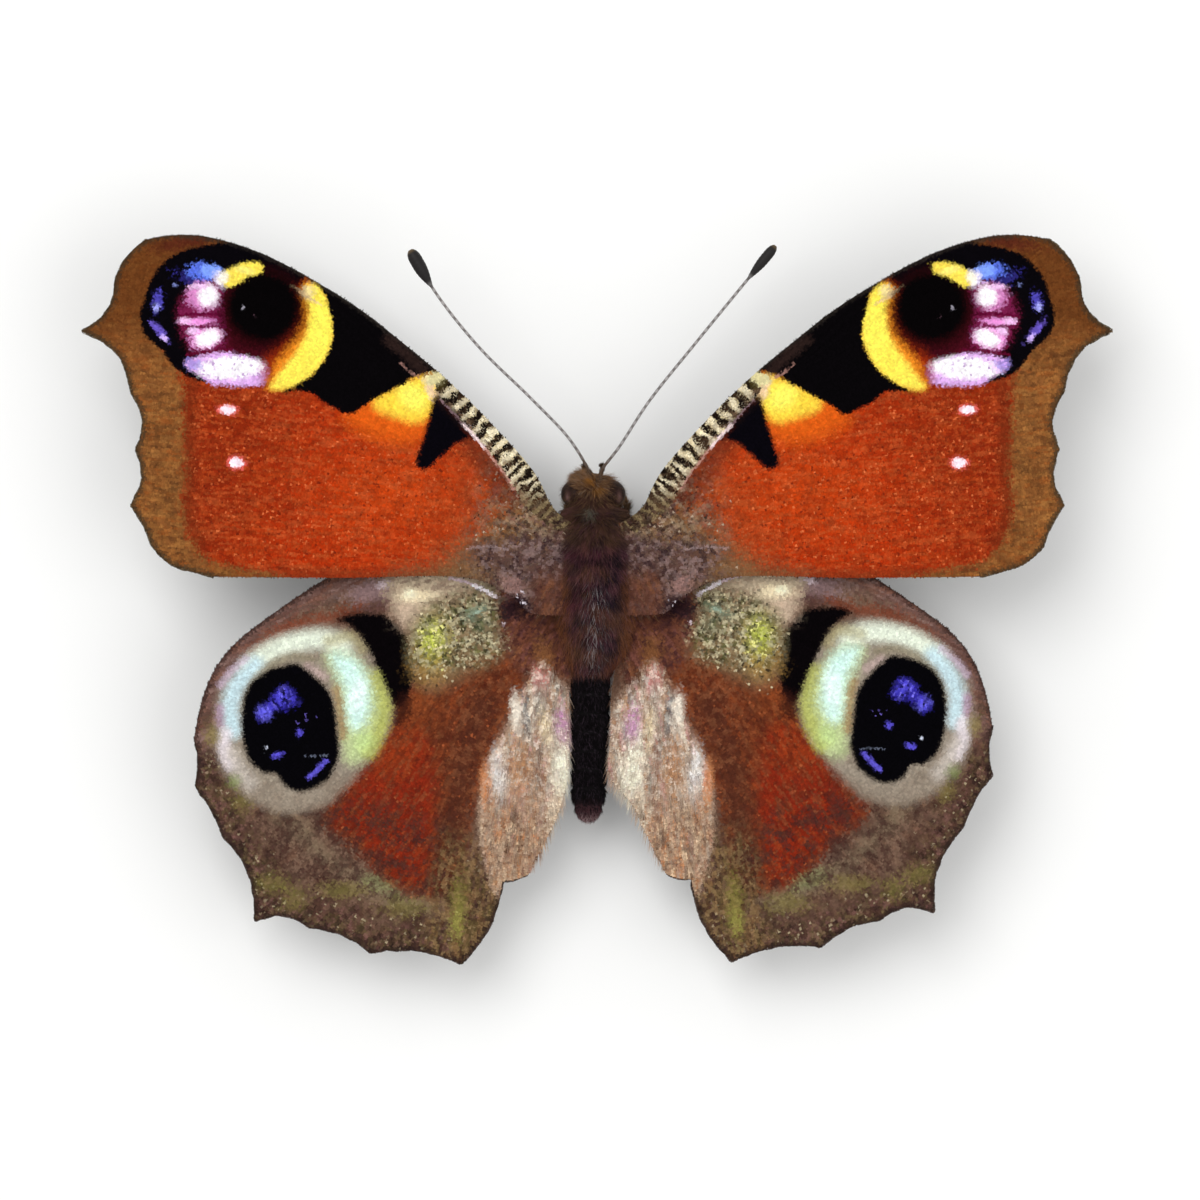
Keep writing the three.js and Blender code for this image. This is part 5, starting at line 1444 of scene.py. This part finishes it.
def body_colour(y, turn, rng):
    """Blotches of purple brown, greyer down the middle and orange at the sides, and a golden-brown head."""
    n = len(y)
    side, top = np.sin(turn), np.cos(turn)
    place = body.point(y, turn)
    colour = np.tile(linear(54, 34, 34), (n, 1))
    pick = rng.random(n)

    def lay(mask, c):
        nonlocal colour
        m = np.clip(mask, 0, 1)[:, None]
        colour = colour * (1 - m) + linear(*c) * m

    def patch(seed, size):
        wave = Noise(seed)(place[:, 0] / size + 20, (y + 0.6 * place[:, 2]) / size + 20)
        return smoothstep(0.45, 0.75, wave + jitter(rng, n, 0.25))

    lay(patch(60, 0.7) * 0.9, (88, 44, 56))
    lay(patch(61, 0.5) * 0.9, (27, 19, 22))
    lay(patch(62, 0.6) * 0.6, (34, 28, 42))
    lay(patch(63, 0.5) * 0.7, (104, 70, 50))
    lay(patch(64, 0.3) * 0.6, (104, 62, 70))
    lay((pick > 0.85) * 0.7, (100, 72, 70))
    spine = np.exp(-((side / 0.26) ** 2)) * (top > 0) * smoothstep(2.0, 0.4, y)
    lay(spine * (rng.random(n) > 0.86) * 0.9, (164, 156, 156))
    flank = smoothstep(0.5, 0.85, np.abs(side)) * smoothstep(2.6, 1.2, y) * smoothstep(-4.4, -3.4, y)
    lay(flank * (rng.random(n) > 0.25) * 0.75, (124, 74, 42))
    collar = smoothstep(3.2, 4.0, y) * smoothstep(5.9, 5.3, y)
    lay(collar * (rng.random(n) > 0.4) * 0.8, (88, 64, 46))
    lay(smoothstep(5.2, 5.9, y) * 0.85, (66, 42, 36))
    lay(smoothstep(5.2, 5.9, y) * (rng.random(n) > 0.7) * 0.8, (120, 92, 64))
    front = smoothstep(6.2, 6.7, y) * (0.8 - 0.2 * side)
    lay(front * (rng.random(n) > 0.15), (148, 110, 76))
    lay(front * (rng.random(n) > 0.75) * 0.85, (84, 54, 40))
    lay(front * (rng.random(n) > 0.85) * 0.8, (140, 126, 110))
    lay(np.exp(-(((y - 6.6) / 0.16) ** 2) - ((side - 0.16) / 0.16) ** 2) * (top > 0) * 0.8, (172, 112, 36))
    lay(np.exp(-(((y - 5.25) / 0.28) ** 2) - ((side + 0.1) / 0.08) ** 2) * (top > 0) * 0.7, (150, 156, 138))
    abdomen = smoothstep(-3.9, -4.6, y)
    lay(abdomen, (13, 9, 11))
    lay(abdomen * (rng.random(n) > 0.88), (52, 42, 50))
    lay(smoothstep(-11.4, -12.4, y) * (rng.random(n) > 0.35) * 0.9, (84, 54, 58))
    lay(smoothstep(-12.3, -12.7, y) * (rng.random(n) > 0.6), (170, 140, 140))
    under = smoothstep(-0.2, -0.7, top) * (y < 5)
    lay(under * 0.5, (62, 48, 42))
    return colour


def ring_faces(rings, around):
    """The faces between rings of points, closed by a point at each end. These two come last."""
    k = np.arange(rings - 1)[:, None] * around
    j = np.arange(around)
    after = (j + 1) % around
    a, b = (k + j).ravel(), (k + after).ravel()
    last = (rings - 1) * around
    front, back = np.full(around, rings * around), np.full(around, rings * around + 1)
    return np.concatenate([
        np.stack([a, a + around, b + around], 1),
        np.stack([a, b + around, b], 1),
        np.stack([front, j, after], 1),
        np.stack([back, last + after, last + j], 1),
    ])


def body_skin(material):
    """The fine skin of head, thorax and abdomen, with rows closest where it is jointed."""
    around = 56
    painted_shade_under_fur = 0.6
    past_end = 0.01
    rows = [(7.455, 5, 40), (4.9, -4.0, 60), (-4.1, -12.5, 120), (-12.55, -12.99, 12)]
    y = np.concatenate([np.linspace(*row) for row in rows])
    turn = np.linspace(0, 2 * math.pi, around, endpoint=False)
    yy, tt = (q.ravel() for q in np.meshgrid(y, turn, indexing="ij"))
    ends = [body.middle(y[:1] + past_end), body.middle(y[-1:] - past_end)]
    points = np.concatenate([body.point(yy, tt), *ends])
    # The skin is darkened like the fur's roots: painted shade under the fur
    colours = body_colour(yy, tt, np.random.default_rng(40)) * painted_shade_under_fur
    colours = np.concatenate([colours, colours[:1], colours[-1:]])
    uv = np.concatenate([body.unwrap(yy, tt), [[0.5, 0.97], [0.5, 0.03]]])
    thing = make_mesh("body_skin", points, ring_faces(len(y), around), colours, uv, True, BODY_ROUND)
    return dress(thing, material, ("head", "thorax", "abdomen"))


def in_an_eye(p):
    """Which places lie within either eye."""
    found = np.zeros(len(p), bool)
    for side in (-1, 1):
        d = (p - eye_centre(side)) / (np.array(EYE["half"]) * EYE["share"])
        found |= (d * d).sum(1) < 1
    return found


def fur(name, few, material):
    """One stretch of the body's fur. Where it lies to a side, only that side has it."""
    plan = FUR[name]
    rng = np.random.default_rng(plan["seed"])
    count = int(plan["count"] * few)
    start, end = plan["reach"]
    y = varied(rng, count, start, end - start)
    turn = rng.random(count) * 2 * math.pi
    wide = body.section(y)[2]
    chosen = (rng.random(count) < wide / wide.max()) & ~in_an_eye(body.point(y, turn))
    chosen &= np.sin(turn) * plan["lie"][0] > -0.2
    y, turn = y[chosen], turn[chosen]
    n = len(y)
    root, normal = body.point(y, turn), body.normal(y, turn)
    way = np.array(plan["lie"]) + jitter(rng, (n, 3), plan["loose"])
    way[:, 0] += plan["out"] * np.sin(turn)
    along = unit(way - (way * normal).sum(1)[:, None] * normal)
    colours = body_colour(y, turn, rng) * varied(rng, (n, 1), 0.5, 1.0)
    length = plan["length"] * varied(rng, n, 0.6, 0.6)
    lift = plan["lift"] * varied(rng, n, 0.5, 1.0)
    width = plan["width"] * varied(rng, n, 0.7, 0.6)
    return tufts(f"fur_{name}", root, normal, along, length, width, lift, colours, body.unwrap(y, turn),
                 material)


def eye_centre(side):
    """The middle of the eye on one side."""
    x, y, z = HEAD["centre"]
    return np.array([x + side * EYE["out"], y + EYE["forward"], z + EYE["up"]])


def eye_unwrap(d):
    """Directions from an eye's middle, laid out flat by their turn and height."""
    return np.stack([np.arctan2(d[:, 1], d[:, 0]) / (2 * math.pi) * EYE_ROUND + 0.5, d[:, 2] * 0.45 + 0.5], 1)


def eye_lenses(side, name, material):
    """A compound eye: an oval dome covered in small lenses, spread over it evenly, with a pinkish painted
    highlight on its outer rear.
    """
    lens_depth = 0.022
    ball = bmesh.new()
    bmesh.ops.create_icosphere(ball, subdivisions=5, radius=1)
    d = np.array([v.co for v in ball.verts])
    faces = np.array([[v.index for v in f.verts] for f in ball.faces])
    ball.free()
    k = np.arange(LENSES) + 0.5
    level, turn = 1 - 2 * k / LENSES, math.pi * (1 + 5 ** 0.5) * k
    wide = np.sqrt(1 - level * level)
    lenses = KDTree(LENSES)
    for i, q in enumerate(zip(wide * np.cos(turn), wide * np.sin(turn), level)):
        lenses.insert(q, i)
    lenses.balance()
    away = np.array([lenses.find(q)[2] for q in d]) / math.sqrt(4 / LENSES)
    swell = (1 - lens_depth * away * away)[:, None]
    points = eye_centre(side) + d * np.array(EYE["half"]) * swell * EYE["share"]
    mottle = Noise(71)(d[:, 1] * 2.2 + 5, d[:, 2] * 2.2 + 9)[:, None]
    colours = linear(18, 10, 8) * (1 - mottle) + linear(48, 28, 22) * mottle
    # Painted highlight: a pinkish patch on the eye's outer rear, where a reflection of the white round it
    # would be
    highlight_spread = np.array([0.16, 0.42, 0.3])
    painted_highlight = np.exp(-(((d - unit(np.array([side * 0.6, -0.3, 0.75]))) / highlight_spread) ** 2).sum(1))[:, None]
    colours = colours * (1 - 0.5 * painted_highlight) + linear(140, 104, 102) * 0.5 * painted_highlight
    thing = make_mesh(f"lenses_{name}", points, faces, colours, eye_unwrap(d), True, EYE_ROUND)
    return dress(thing, material, (f"eye_{name}",))


def eye_hairs(side, name, material):
    """Short hairs on the upper half of an eye."""
    width = 0.024
    lift = 0.9
    rng = np.random.default_rng(72 + side)
    n = EYE_HAIRS
    d = unit(rng.normal(size=(n, 3)))
    d[:, 2] = np.abs(d[:, 2])
    half = np.array(EYE["half"]) * EYE["hair_share"]
    normal = unit(d / half)
    way = np.array([side * 0.3, -1.0, 0.0]) + jitter(rng, (n, 3), 0.8)
    along = unit(way - (way * normal).sum(1)[:, None] * normal)
    tints = mixed([(88, 64, 48), (60, 42, 34), (120, 92, 66)], rng, n)
    length = varied(rng, n, 0.14, 0.16)
    return tufts(f"fur_eye_{name}", eye_centre(side) + d * half, normal, along, length, width, lift, tints,
                 eye_unwrap(d), material)


# Tubes: antennae, legs, palps and the tongue

ASKEW = (0.31, 0.2, 0.93)  # a direction that no tube runs along


def crosswise(along):
    """Two directions square to a direction and to each other."""
    up = unit(np.cross(along, ASKEW))
    return up, np.cross(along, up)


def tube(path_points, radius_at, steps, sides):
    """A closed tapering tube along points: its points, its faces and each point's share of the length."""
    path = Path(path_points, 400, True)
    share = np.linspace(0, 1, steps + 1)
    centre = path.at(share)
    along = unit(np.gradient(centre, axis=0))
    up = np.zeros_like(along)
    up[0], _ = crosswise(along[0])
    for k in range(1, len(up)):
        up[k] = unit(up[k - 1] - (up[k - 1] @ along[k]) * along[k])
    aside = np.cross(along, up)
    angle = np.linspace(0, 2 * math.pi, sides, endpoint=False)
    r = np.array([radius_at(s) for s in share])[:, None, None]
    ring = up[:, None] * np.cos(angle)[None, :, None] + aside[:, None] * np.sin(angle)[None, :, None]
    points = np.concatenate([(centre[:, None] + ring * r).reshape(-1, 3), centre[:1], centre[-1:]])
    shares = np.concatenate([np.repeat(share, sides), [0, 1]])
    faces = ring_faces(steps + 1, sides)[:, ::-1]  # its rings turn the other way than the skin's
    return points, faces, shares


def tube_unwrap(turns, shares):
    """The tube cut along its length and laid out flat."""
    return np.stack([turns * TUBE_ROUND, shares * TUBE_SHEET["share"]], 1) + TUBE_SHEET["edge"]


def tube_piece(name, made, sides, colours, material, node):
    """A tube's mesh, standing for one node."""
    points, faces, shares = made
    turns = np.concatenate([np.tile(np.arange(sides), (len(shares) - 2) // sides), [0, 0]]) / sides
    thing = make_mesh(name, points, faces, colours, tube_unwrap(turns, shares), True, TUBE_ROUND)
    return dress(thing, material, (node,))


def antenna(side, material):
    """A jointed, ringed shaft, with a club at its end that swells and then rounds off."""
    points = ANTENNAE[side]["path"]
    club = 1 - CLUB_LENGTH / Path(points, 400, True).lengths[-1]
    thin = 0.08

    def radius(s):
        if s < 0.035:
            return 0.095
        if s < club:
            joint = 0.5 + 0.5 * math.cos(2 * math.pi * s * FEELER_JOINTS)
            return thin + 0.014 * joint
        t = (s - club) / (1 - club)
        joint = 0.006 * math.cos(2 * math.pi * s * FEELER_JOINTS * 2)
        swell = thin + (ANTENNAE[side]["club"] - thin) * math.sin(math.pi / 2 * min(1, t / 0.6)) + joint
        return swell * math.sqrt(max(0.02, 1 - max(0, (t - 0.75) / 0.26) ** 2))

    sides = 12
    made = tube(points, radius, 300, sides)
    shares = made[2]
    pale, dark = linear(160, 156, 154), linear(112, 106, 104)
    ring = 0.5 + 0.5 * np.cos(2 * math.pi * shares * FEELER_JOINTS)
    mix = smoothstep(0.25, 0.7, ring)[:, None]
    colours = pale * mix + dark * (1 - mix)
    in_club = smoothstep(club - 0.02, club + 0.03, shares)[:, None]
    colours = colours * (1 - in_club) + linear(30, 27, 27) * in_club
    tip = smoothstep(0.985, 1.0, shares)[:, None]
    colours = colours * (1 - tip) + linear(96, 78, 54) * tip
    root = smoothstep(0.16, 0.03, shares)[:, None]
    colours = colours * (1 - root) + linear(70, 52, 38) * root
    return tube_piece(f"feeler_{side}", made, sides, colours, material, f"antenna_{side}")


def on_head(direction, clear):
    """The place on the head in a direction from its middle, so far outside it."""
    d = unit(np.array(direction, float))
    half = np.array(HEAD["half"]) + clear
    return np.array(HEAD["centre"]) + d / np.linalg.norm(d / half)


def hair_on_tube(name, points, radius_at, hair, seed, tints, material, shares=(0.0, 1.0)):
    """Tufts along a tube, pointing towards its end. hair is how many, how long and how far they stand off."""
    count, length, lift = hair
    rng = np.random.default_rng(seed)
    path = Path(points, 200, True)
    s = varied(rng, count, shares[0], shares[1] - shares[0])
    turn = rng.random(count) * 2 * math.pi
    along = unit(path.at(np.minimum(s + 0.01, 1)) - path.at(s - 0.01))
    up, aside = crosswise(along)
    normal = up * np.cos(turn)[:, None] + aside * np.sin(turn)[:, None]
    radius = np.array([radius_at(v) for v in s])[:, None]
    root = path.at(s) + normal * radius
    colours = mixed(tints, rng, count) * varied(rng, (count, 1), 0.7, 0.6)
    way = unit(along + jitter(rng, (count, 3), 0.3))
    long = length * varied(rng, count, 0.6, 0.7)
    width = varied(rng, count, 0.04, 0.02)
    uv = tube_unwrap(turn / (2 * math.pi), s)
    return tufts(name, root, normal, way, long, width, lift, colours, uv, material)


def palp(side, name, skin, coat):
    """One of the two furry feelers in front of the face."""
    root = on_head([side * 0.4, 0.85, -0.5], 0.0)
    bend = on_head([side * 0.4, 0.85, -0.5], GAP) + np.array([0, 0.25, 0.18])
    tip = np.array([root[0], 7.9, bend[2] + 0.57])
    points = [root, bend, tip]
    radius = lambda s: (0.13 - 0.07 * s) * math.sqrt(max(0.03, 1 - max(0, (s - 0.9) / 0.11) ** 2))
    sides = 12
    made = tube(points, radius, 30, sides)
    shares = made[2]
    colours = linear(70, 54, 42) * (0.8 + 0.4 * Noise(80)(shares * 9, shares * 5))[:, None]
    tube_piece(f"palp_skin_{name}", made, sides, colours, skin, f"palp_{name}")
    tints = [(92, 70, 48), (70, 54, 46), (50, 38, 32), (110, 86, 60)]
    hair_on_tube(f"palp_fur_{name}", points, radius, (420, 0.24, 0.25), 81 + side, tints, coat)


def tongue(material):
    """The proboscis, coiled under the head."""
    root = on_head([0, -0.15, -1], 0.05)
    outer, inner, turns, samples = 0.9, 0.22, 2.2, 60
    rings = 70
    t = np.linspace(0, 1, samples)
    angle = math.pi / 2 - t * turns * 2 * math.pi
    r = outer + (inner - outer) * t
    points = np.stack([np.full(samples, root[0]), root[1] + r * np.cos(angle),
                       root[2] - outer + r * np.sin(angle)], 1)

    def radius(s):
        ring = 1 + 0.06 * math.cos(2 * math.pi * s * rings)
        return (0.13 - 0.07 * s) * ring * (1 if s < 0.99 else 0.5)

    sides = 10
    made = tube(points, radius, 320, sides)
    ring = (0.5 + 0.5 * np.cos(2 * math.pi * made[2] * rings))[:, None]
    colours = linear(70, 44, 26) * ring + linear(38, 24, 18) * (1 - ring)
    return tube_piece("tongue", made, sides, colours, material, "proboscis")


def spike(start, end, thick, sides=5):
    """A closed cone."""
    up, aside = crosswise(unit(end - start))
    angle = np.linspace(0, 2 * math.pi, sides, endpoint=False)[:, None]
    ring = start + (up * np.cos(angle) + aside * np.sin(angle)) * thick
    points = np.concatenate([ring, [end], [start]])
    j = np.arange(sides)
    after = (j + 1) % sides
    faces = np.concatenate([np.stack([j, after, np.full(sides, sides)], 1),
                            np.stack([after, j, np.full(sides, sides + 1)], 1)])
    return points, faces


def joined(parts):
    """Several meshes as one set of points and faces, and which part each point belongs to."""
    points, faces, owner, count = [], [], [], 0
    for k, (p, f) in enumerate(parts):
        points.append(p)
        faces.append(f + count)
        owner.append(np.full(len(p), k))
        count += len(p)
    return np.concatenate(points), np.concatenate(faces), np.concatenate(owner)


def leg_path(plan, side):
    """Points from the root, sunk in the thorax, by the knee and the ankle to the toe."""
    y, turn = plan["root"][0], math.radians(plan["root"][1])
    reach = float(thorax_half_width(y)) - LEG_SUNK
    root = np.array([THORAX["x"] + side * reach * math.sin(turn), y, THORAX["z"] - reach * math.cos(turn)])
    knee, ankle, toe = (np.array(plan[joint]) * [side, 1, 1] for joint in ("knee", "ankle", "toe"))
    past = lambda joint, after: joint + (after - joint) * LEG_BEND / np.linalg.norm(after - joint)
    heel = past(ankle, toe)
    return [root, past(root, knee) - [0, 0, 0.1], root * 0.4 + knee * 0.6, knee, past(knee, ankle),
            knee * 0.4 + ankle * 0.6, ankle, heel, toe]


def leg(kind, side, name, skin, coat, horn):
    """A leg: its limb, its hairs and, on a walking leg, its spines and claws."""
    plan = LEGS[kind]
    points = leg_path(plan, side)
    path = Path(points, 400, True)
    nearest = lambda q: np.argmin(np.linalg.norm(path.points - q, axis=1))
    knee, ankle = (float(path.lengths[nearest(points[k])] / path.lengths[-1]) for k in (3, 6))
    thick = plan["thick"]

    def radius(s):
        """Stout to the knee, thickened just past it, and jointed past the ankle."""
        if s < knee:
            swell = math.sin(math.pi * min(1, s / knee + 0.12))
            return thick * (0.62 + 0.38 * swell) + 0.02
        if s < ankle:
            t = (s - knee) / (ankle - knee)
            return thick * (0.62 + 0.16 * t) + 0.05 * math.exp(-(((t - 0.03) / 0.05) ** 2))
        t = (s - ankle) / (1 - ankle)
        joint = abs(math.sin(math.pi * 5 * t))
        end = math.sqrt(max(0.04, 1 - max(0, (t - 0.95) / 0.055) ** 2))
        return (0.085 + 0.035 * joint) * end

    sides = 12
    made = tube(points, radius, 240, sides)
    shares = made[2]
    patchy = Noise(91)(shares * 40, np.arange(len(shares)) % sides * 0.9)[:, None]
    share = smoothstep(0.45, 0.8, patchy) * 0.6
    colours = linear(74, 54, 40) * (1 - share) + linear(128, 96, 64) * share
    tube_piece(f"{kind}_{name}_limb", made, sides, colours, skin, f"{kind}_{name}")
    tints = [(92, 68, 48), (64, 46, 36), (128, 98, 66)]
    hair_on_tube(f"{kind}_{name}_coat", points, radius, plan["hair"], 92, tints, coat, (0.02, 0.97))
    if plan["spines"]:
        points, faces, owner = joined(leg_spines(plan, path, radius, knee, ankle) + claws(path))
        colours = linear(40, 28, 22) * (0.7 + 0.6 * Noise(93)(owner * 3.7, owner * 1.3))[:, None]
        uv = np.stack([owner / (owner.max() + 2) + 0.01, np.full(len(owner), 0.5)], 1)
        dress(make_mesh(f"{kind}_{name}_spines", points, faces, colours, uv), horn)


def leg_spines(plan, path, radius_at, knee, ankle):
    """Pairs of spines under the leg past the knee, longer as far as the ankle."""
    place = lambda s: path.at(np.array([s]))[0]
    rng = np.random.default_rng(90)
    parts = []
    for s in np.linspace(knee + 0.05, 0.97, plan["spines"]):
        here = place(s)
        along = unit(place(min(1, s + 0.01)) - place(s - 0.01))
        length = 0.34 if s < ankle else 0.2
        for lean in (-1, 1):
            aside = unit(np.cross(along, [0, 0, 1.0])) * lean
            out = unit(aside * 0.7 + np.array([0, 0, -0.35]) + along * 0.9)
            tip = here + out * (radius_at(s) + length * (0.8 + 0.4 * rng.random()))
            parts.append(spike(here, tip, 0.03))
    return parts


def claws(path):
    """The pair of claws at the toe, each bent down to the floor."""
    floor_clear = 0.015
    toe, behind = path.at(np.array([1.0, 0.96]))
    way = unit((toe - behind) * [1, 1, 0])
    across = np.array([-way[1], way[0], 0])
    parts = []
    for lean in (-1, 1):
        bend = toe + way * 0.1 + across * lean * 0.07 + [0, 0, 0.03]
        tip = toe + way * 0.2 + across * lean * 0.12
        tip[2] = floor_clear
        parts.append(spike(toe, bend + (bend - toe) * 0.35, 0.045))
        parts.append(spike(bend, tip, 0.035))
    return parts


def main():
    wing_coat = finish_material("wing_scales", 0.75, 0.02, vary=0.08, vary_scale=2500)
    wing_skin = finish_material("wing_membrane", 0.75, 0.03, bump=0.3, vary=0.08, vary_scale=2500)
    fur_coat = finish_material("fur", 0.7, 0.06, vary=0.1, vary_scale=3000)
    skin = finish_material("body_skin", 0.7, 0.06, bump=0.4, vary=0.2)
    feeler = finish_material("feelers", 0.5, 0.2, bump=0.2, bump_scale=9000, vary=0.1)
    leg_skin = finish_material("legs", 0.5, 0.25, bump=0.4, bump_scale=12000, vary=0.15)
    horn = finish_material("claws", 0.3, 0.5, vary=0.15)
    glossy = finish_material("eyes", 0.4, 0.08, vary=0.2, vary_scale=1500, bump=0.2, bump_scale=20000)
    few = 1
    wings = {name: Wing(name) for name in WING_SETS}
    for k, (name, wing) in enumerate(wings.items()):
        membrane(wing, wing_skin)
        scale_coat(wing, 1, wing.plan["pitch"] * COARSE, 100 + k, wing_coat)
        scale_coat(wing, -1, UNDER_PITCH * COARSE, 200 + k, wing_coat)
        fringe(wing, 300 + k, wing_coat)
        hair = forewing_hair if wing.plan is FOREWING else hindwing_hair
        hair(wing, int(wing.plan["hairs"] * few), 400 + k, fur_coat)
    body_skin(skin)
    for name in FUR:
        fur(name, few, fur_coat)
    tongue(feeler)
    for name, side in (("left", -1), ("right", 1)):
        antenna(name, feeler)
        eye_lenses(side, name, glossy)
        eye_hairs(side, name, fur_coat)
        palp(side, name, skin, fur_coat)
        for kind in LEGS:
            leg(kind, side, name, leg_skin, fur_coat, horn)


# Stage, in metres

FLOOR_HALF = 0.6
FLOOR_COLOUR = (0.93, 0.93, 0.92, 1)
SKY_STRENGTH = 0.72
LIGHTS = {
    "key": {"place": (-0.16, 0.2, 0.5), "size": 0.35, "power": 1.25},
    "fill": {"place": (0.3, -0.1, 0.45), "size": 0.4, "power": 0.5},
}
PHOTO_WIDTH = 1200  # in pixels
PHOTO_MIDLINE = 597.5  # the pixel column of the body's middle
PIXELS_PER_MM = 17.1
WING_LEVEL = 7 * MM
CAMERA_AWAY = 0.6
SENSOR = 36  # in millimetres


def link(name, data):
    """A new object in the scene."""
    thing = bpy.data.objects.new(name, data)
    bpy.context.collection.objects.link(thing)
    return thing


def floor():
    """A plain pale floor."""
    mesh = bpy.data.meshes.new("floor")
    corners = [(x * FLOOR_HALF, y * FLOOR_HALF, 0) for x, y in ((-1, -1), (1, -1), (1, 1), (-1, 1))]
    mesh.from_pydata(corners, [], [(0, 1, 2, 3)])
    pale = bpy.data.materials.new("floor")
    pale.use_nodes = True
    shader = pale.node_tree.nodes["Principled BSDF"]
    shader.inputs["Base Color"].default_value = FLOOR_COLOUR
    shader.inputs["Roughness"].default_value = 0.9
    mesh.materials.append(pale)
    link("floor", mesh)


def lights():
    """Soft light from all round, a large lamp over the left of the head and a weaker one opposite."""
    world = bpy.data.worlds.new("soft")
    world.use_nodes = True
    world.node_tree.nodes["Background"].inputs["Color"].default_value = (1, 1, 1, 1)
    world.node_tree.nodes["Background"].inputs["Strength"].default_value = SKY_STRENGTH
    bpy.context.scene.world = world
    for name, plan in LIGHTS.items():
        light = bpy.data.lights.new(name, "AREA")
        light.size = plan["size"]
        light.energy = plan["power"]
        lamp = link(name, light)
        lamp.location = plan["place"]
        aim = -lamp.location
        lamp.rotation_euler = aim.to_track_quat("-Z", "Y").to_euler()


def camera():
    """A camera straight over the insect, as wide as the photo at the level of the wings."""
    lens = bpy.data.cameras.new("camera")
    lens.sensor_width = SENSOR
    lens.lens = SENSOR * CAMERA_AWAY / (PHOTO_WIDTH / PIXELS_PER_MM * MM)
    lens.clip_start = 0.02
    eye = link("camera", lens)
    eye.location = ((PHOTO_WIDTH / 2 - PHOTO_MIDLINE) / PIXELS_PER_MM * MM, 0, WING_LEVEL + CAMERA_AWAY)
    bpy.context.scene.camera = eye
    bpy.context.scene.view_settings.view_transform = "Standard"


main()
floor()
lights()
camera()
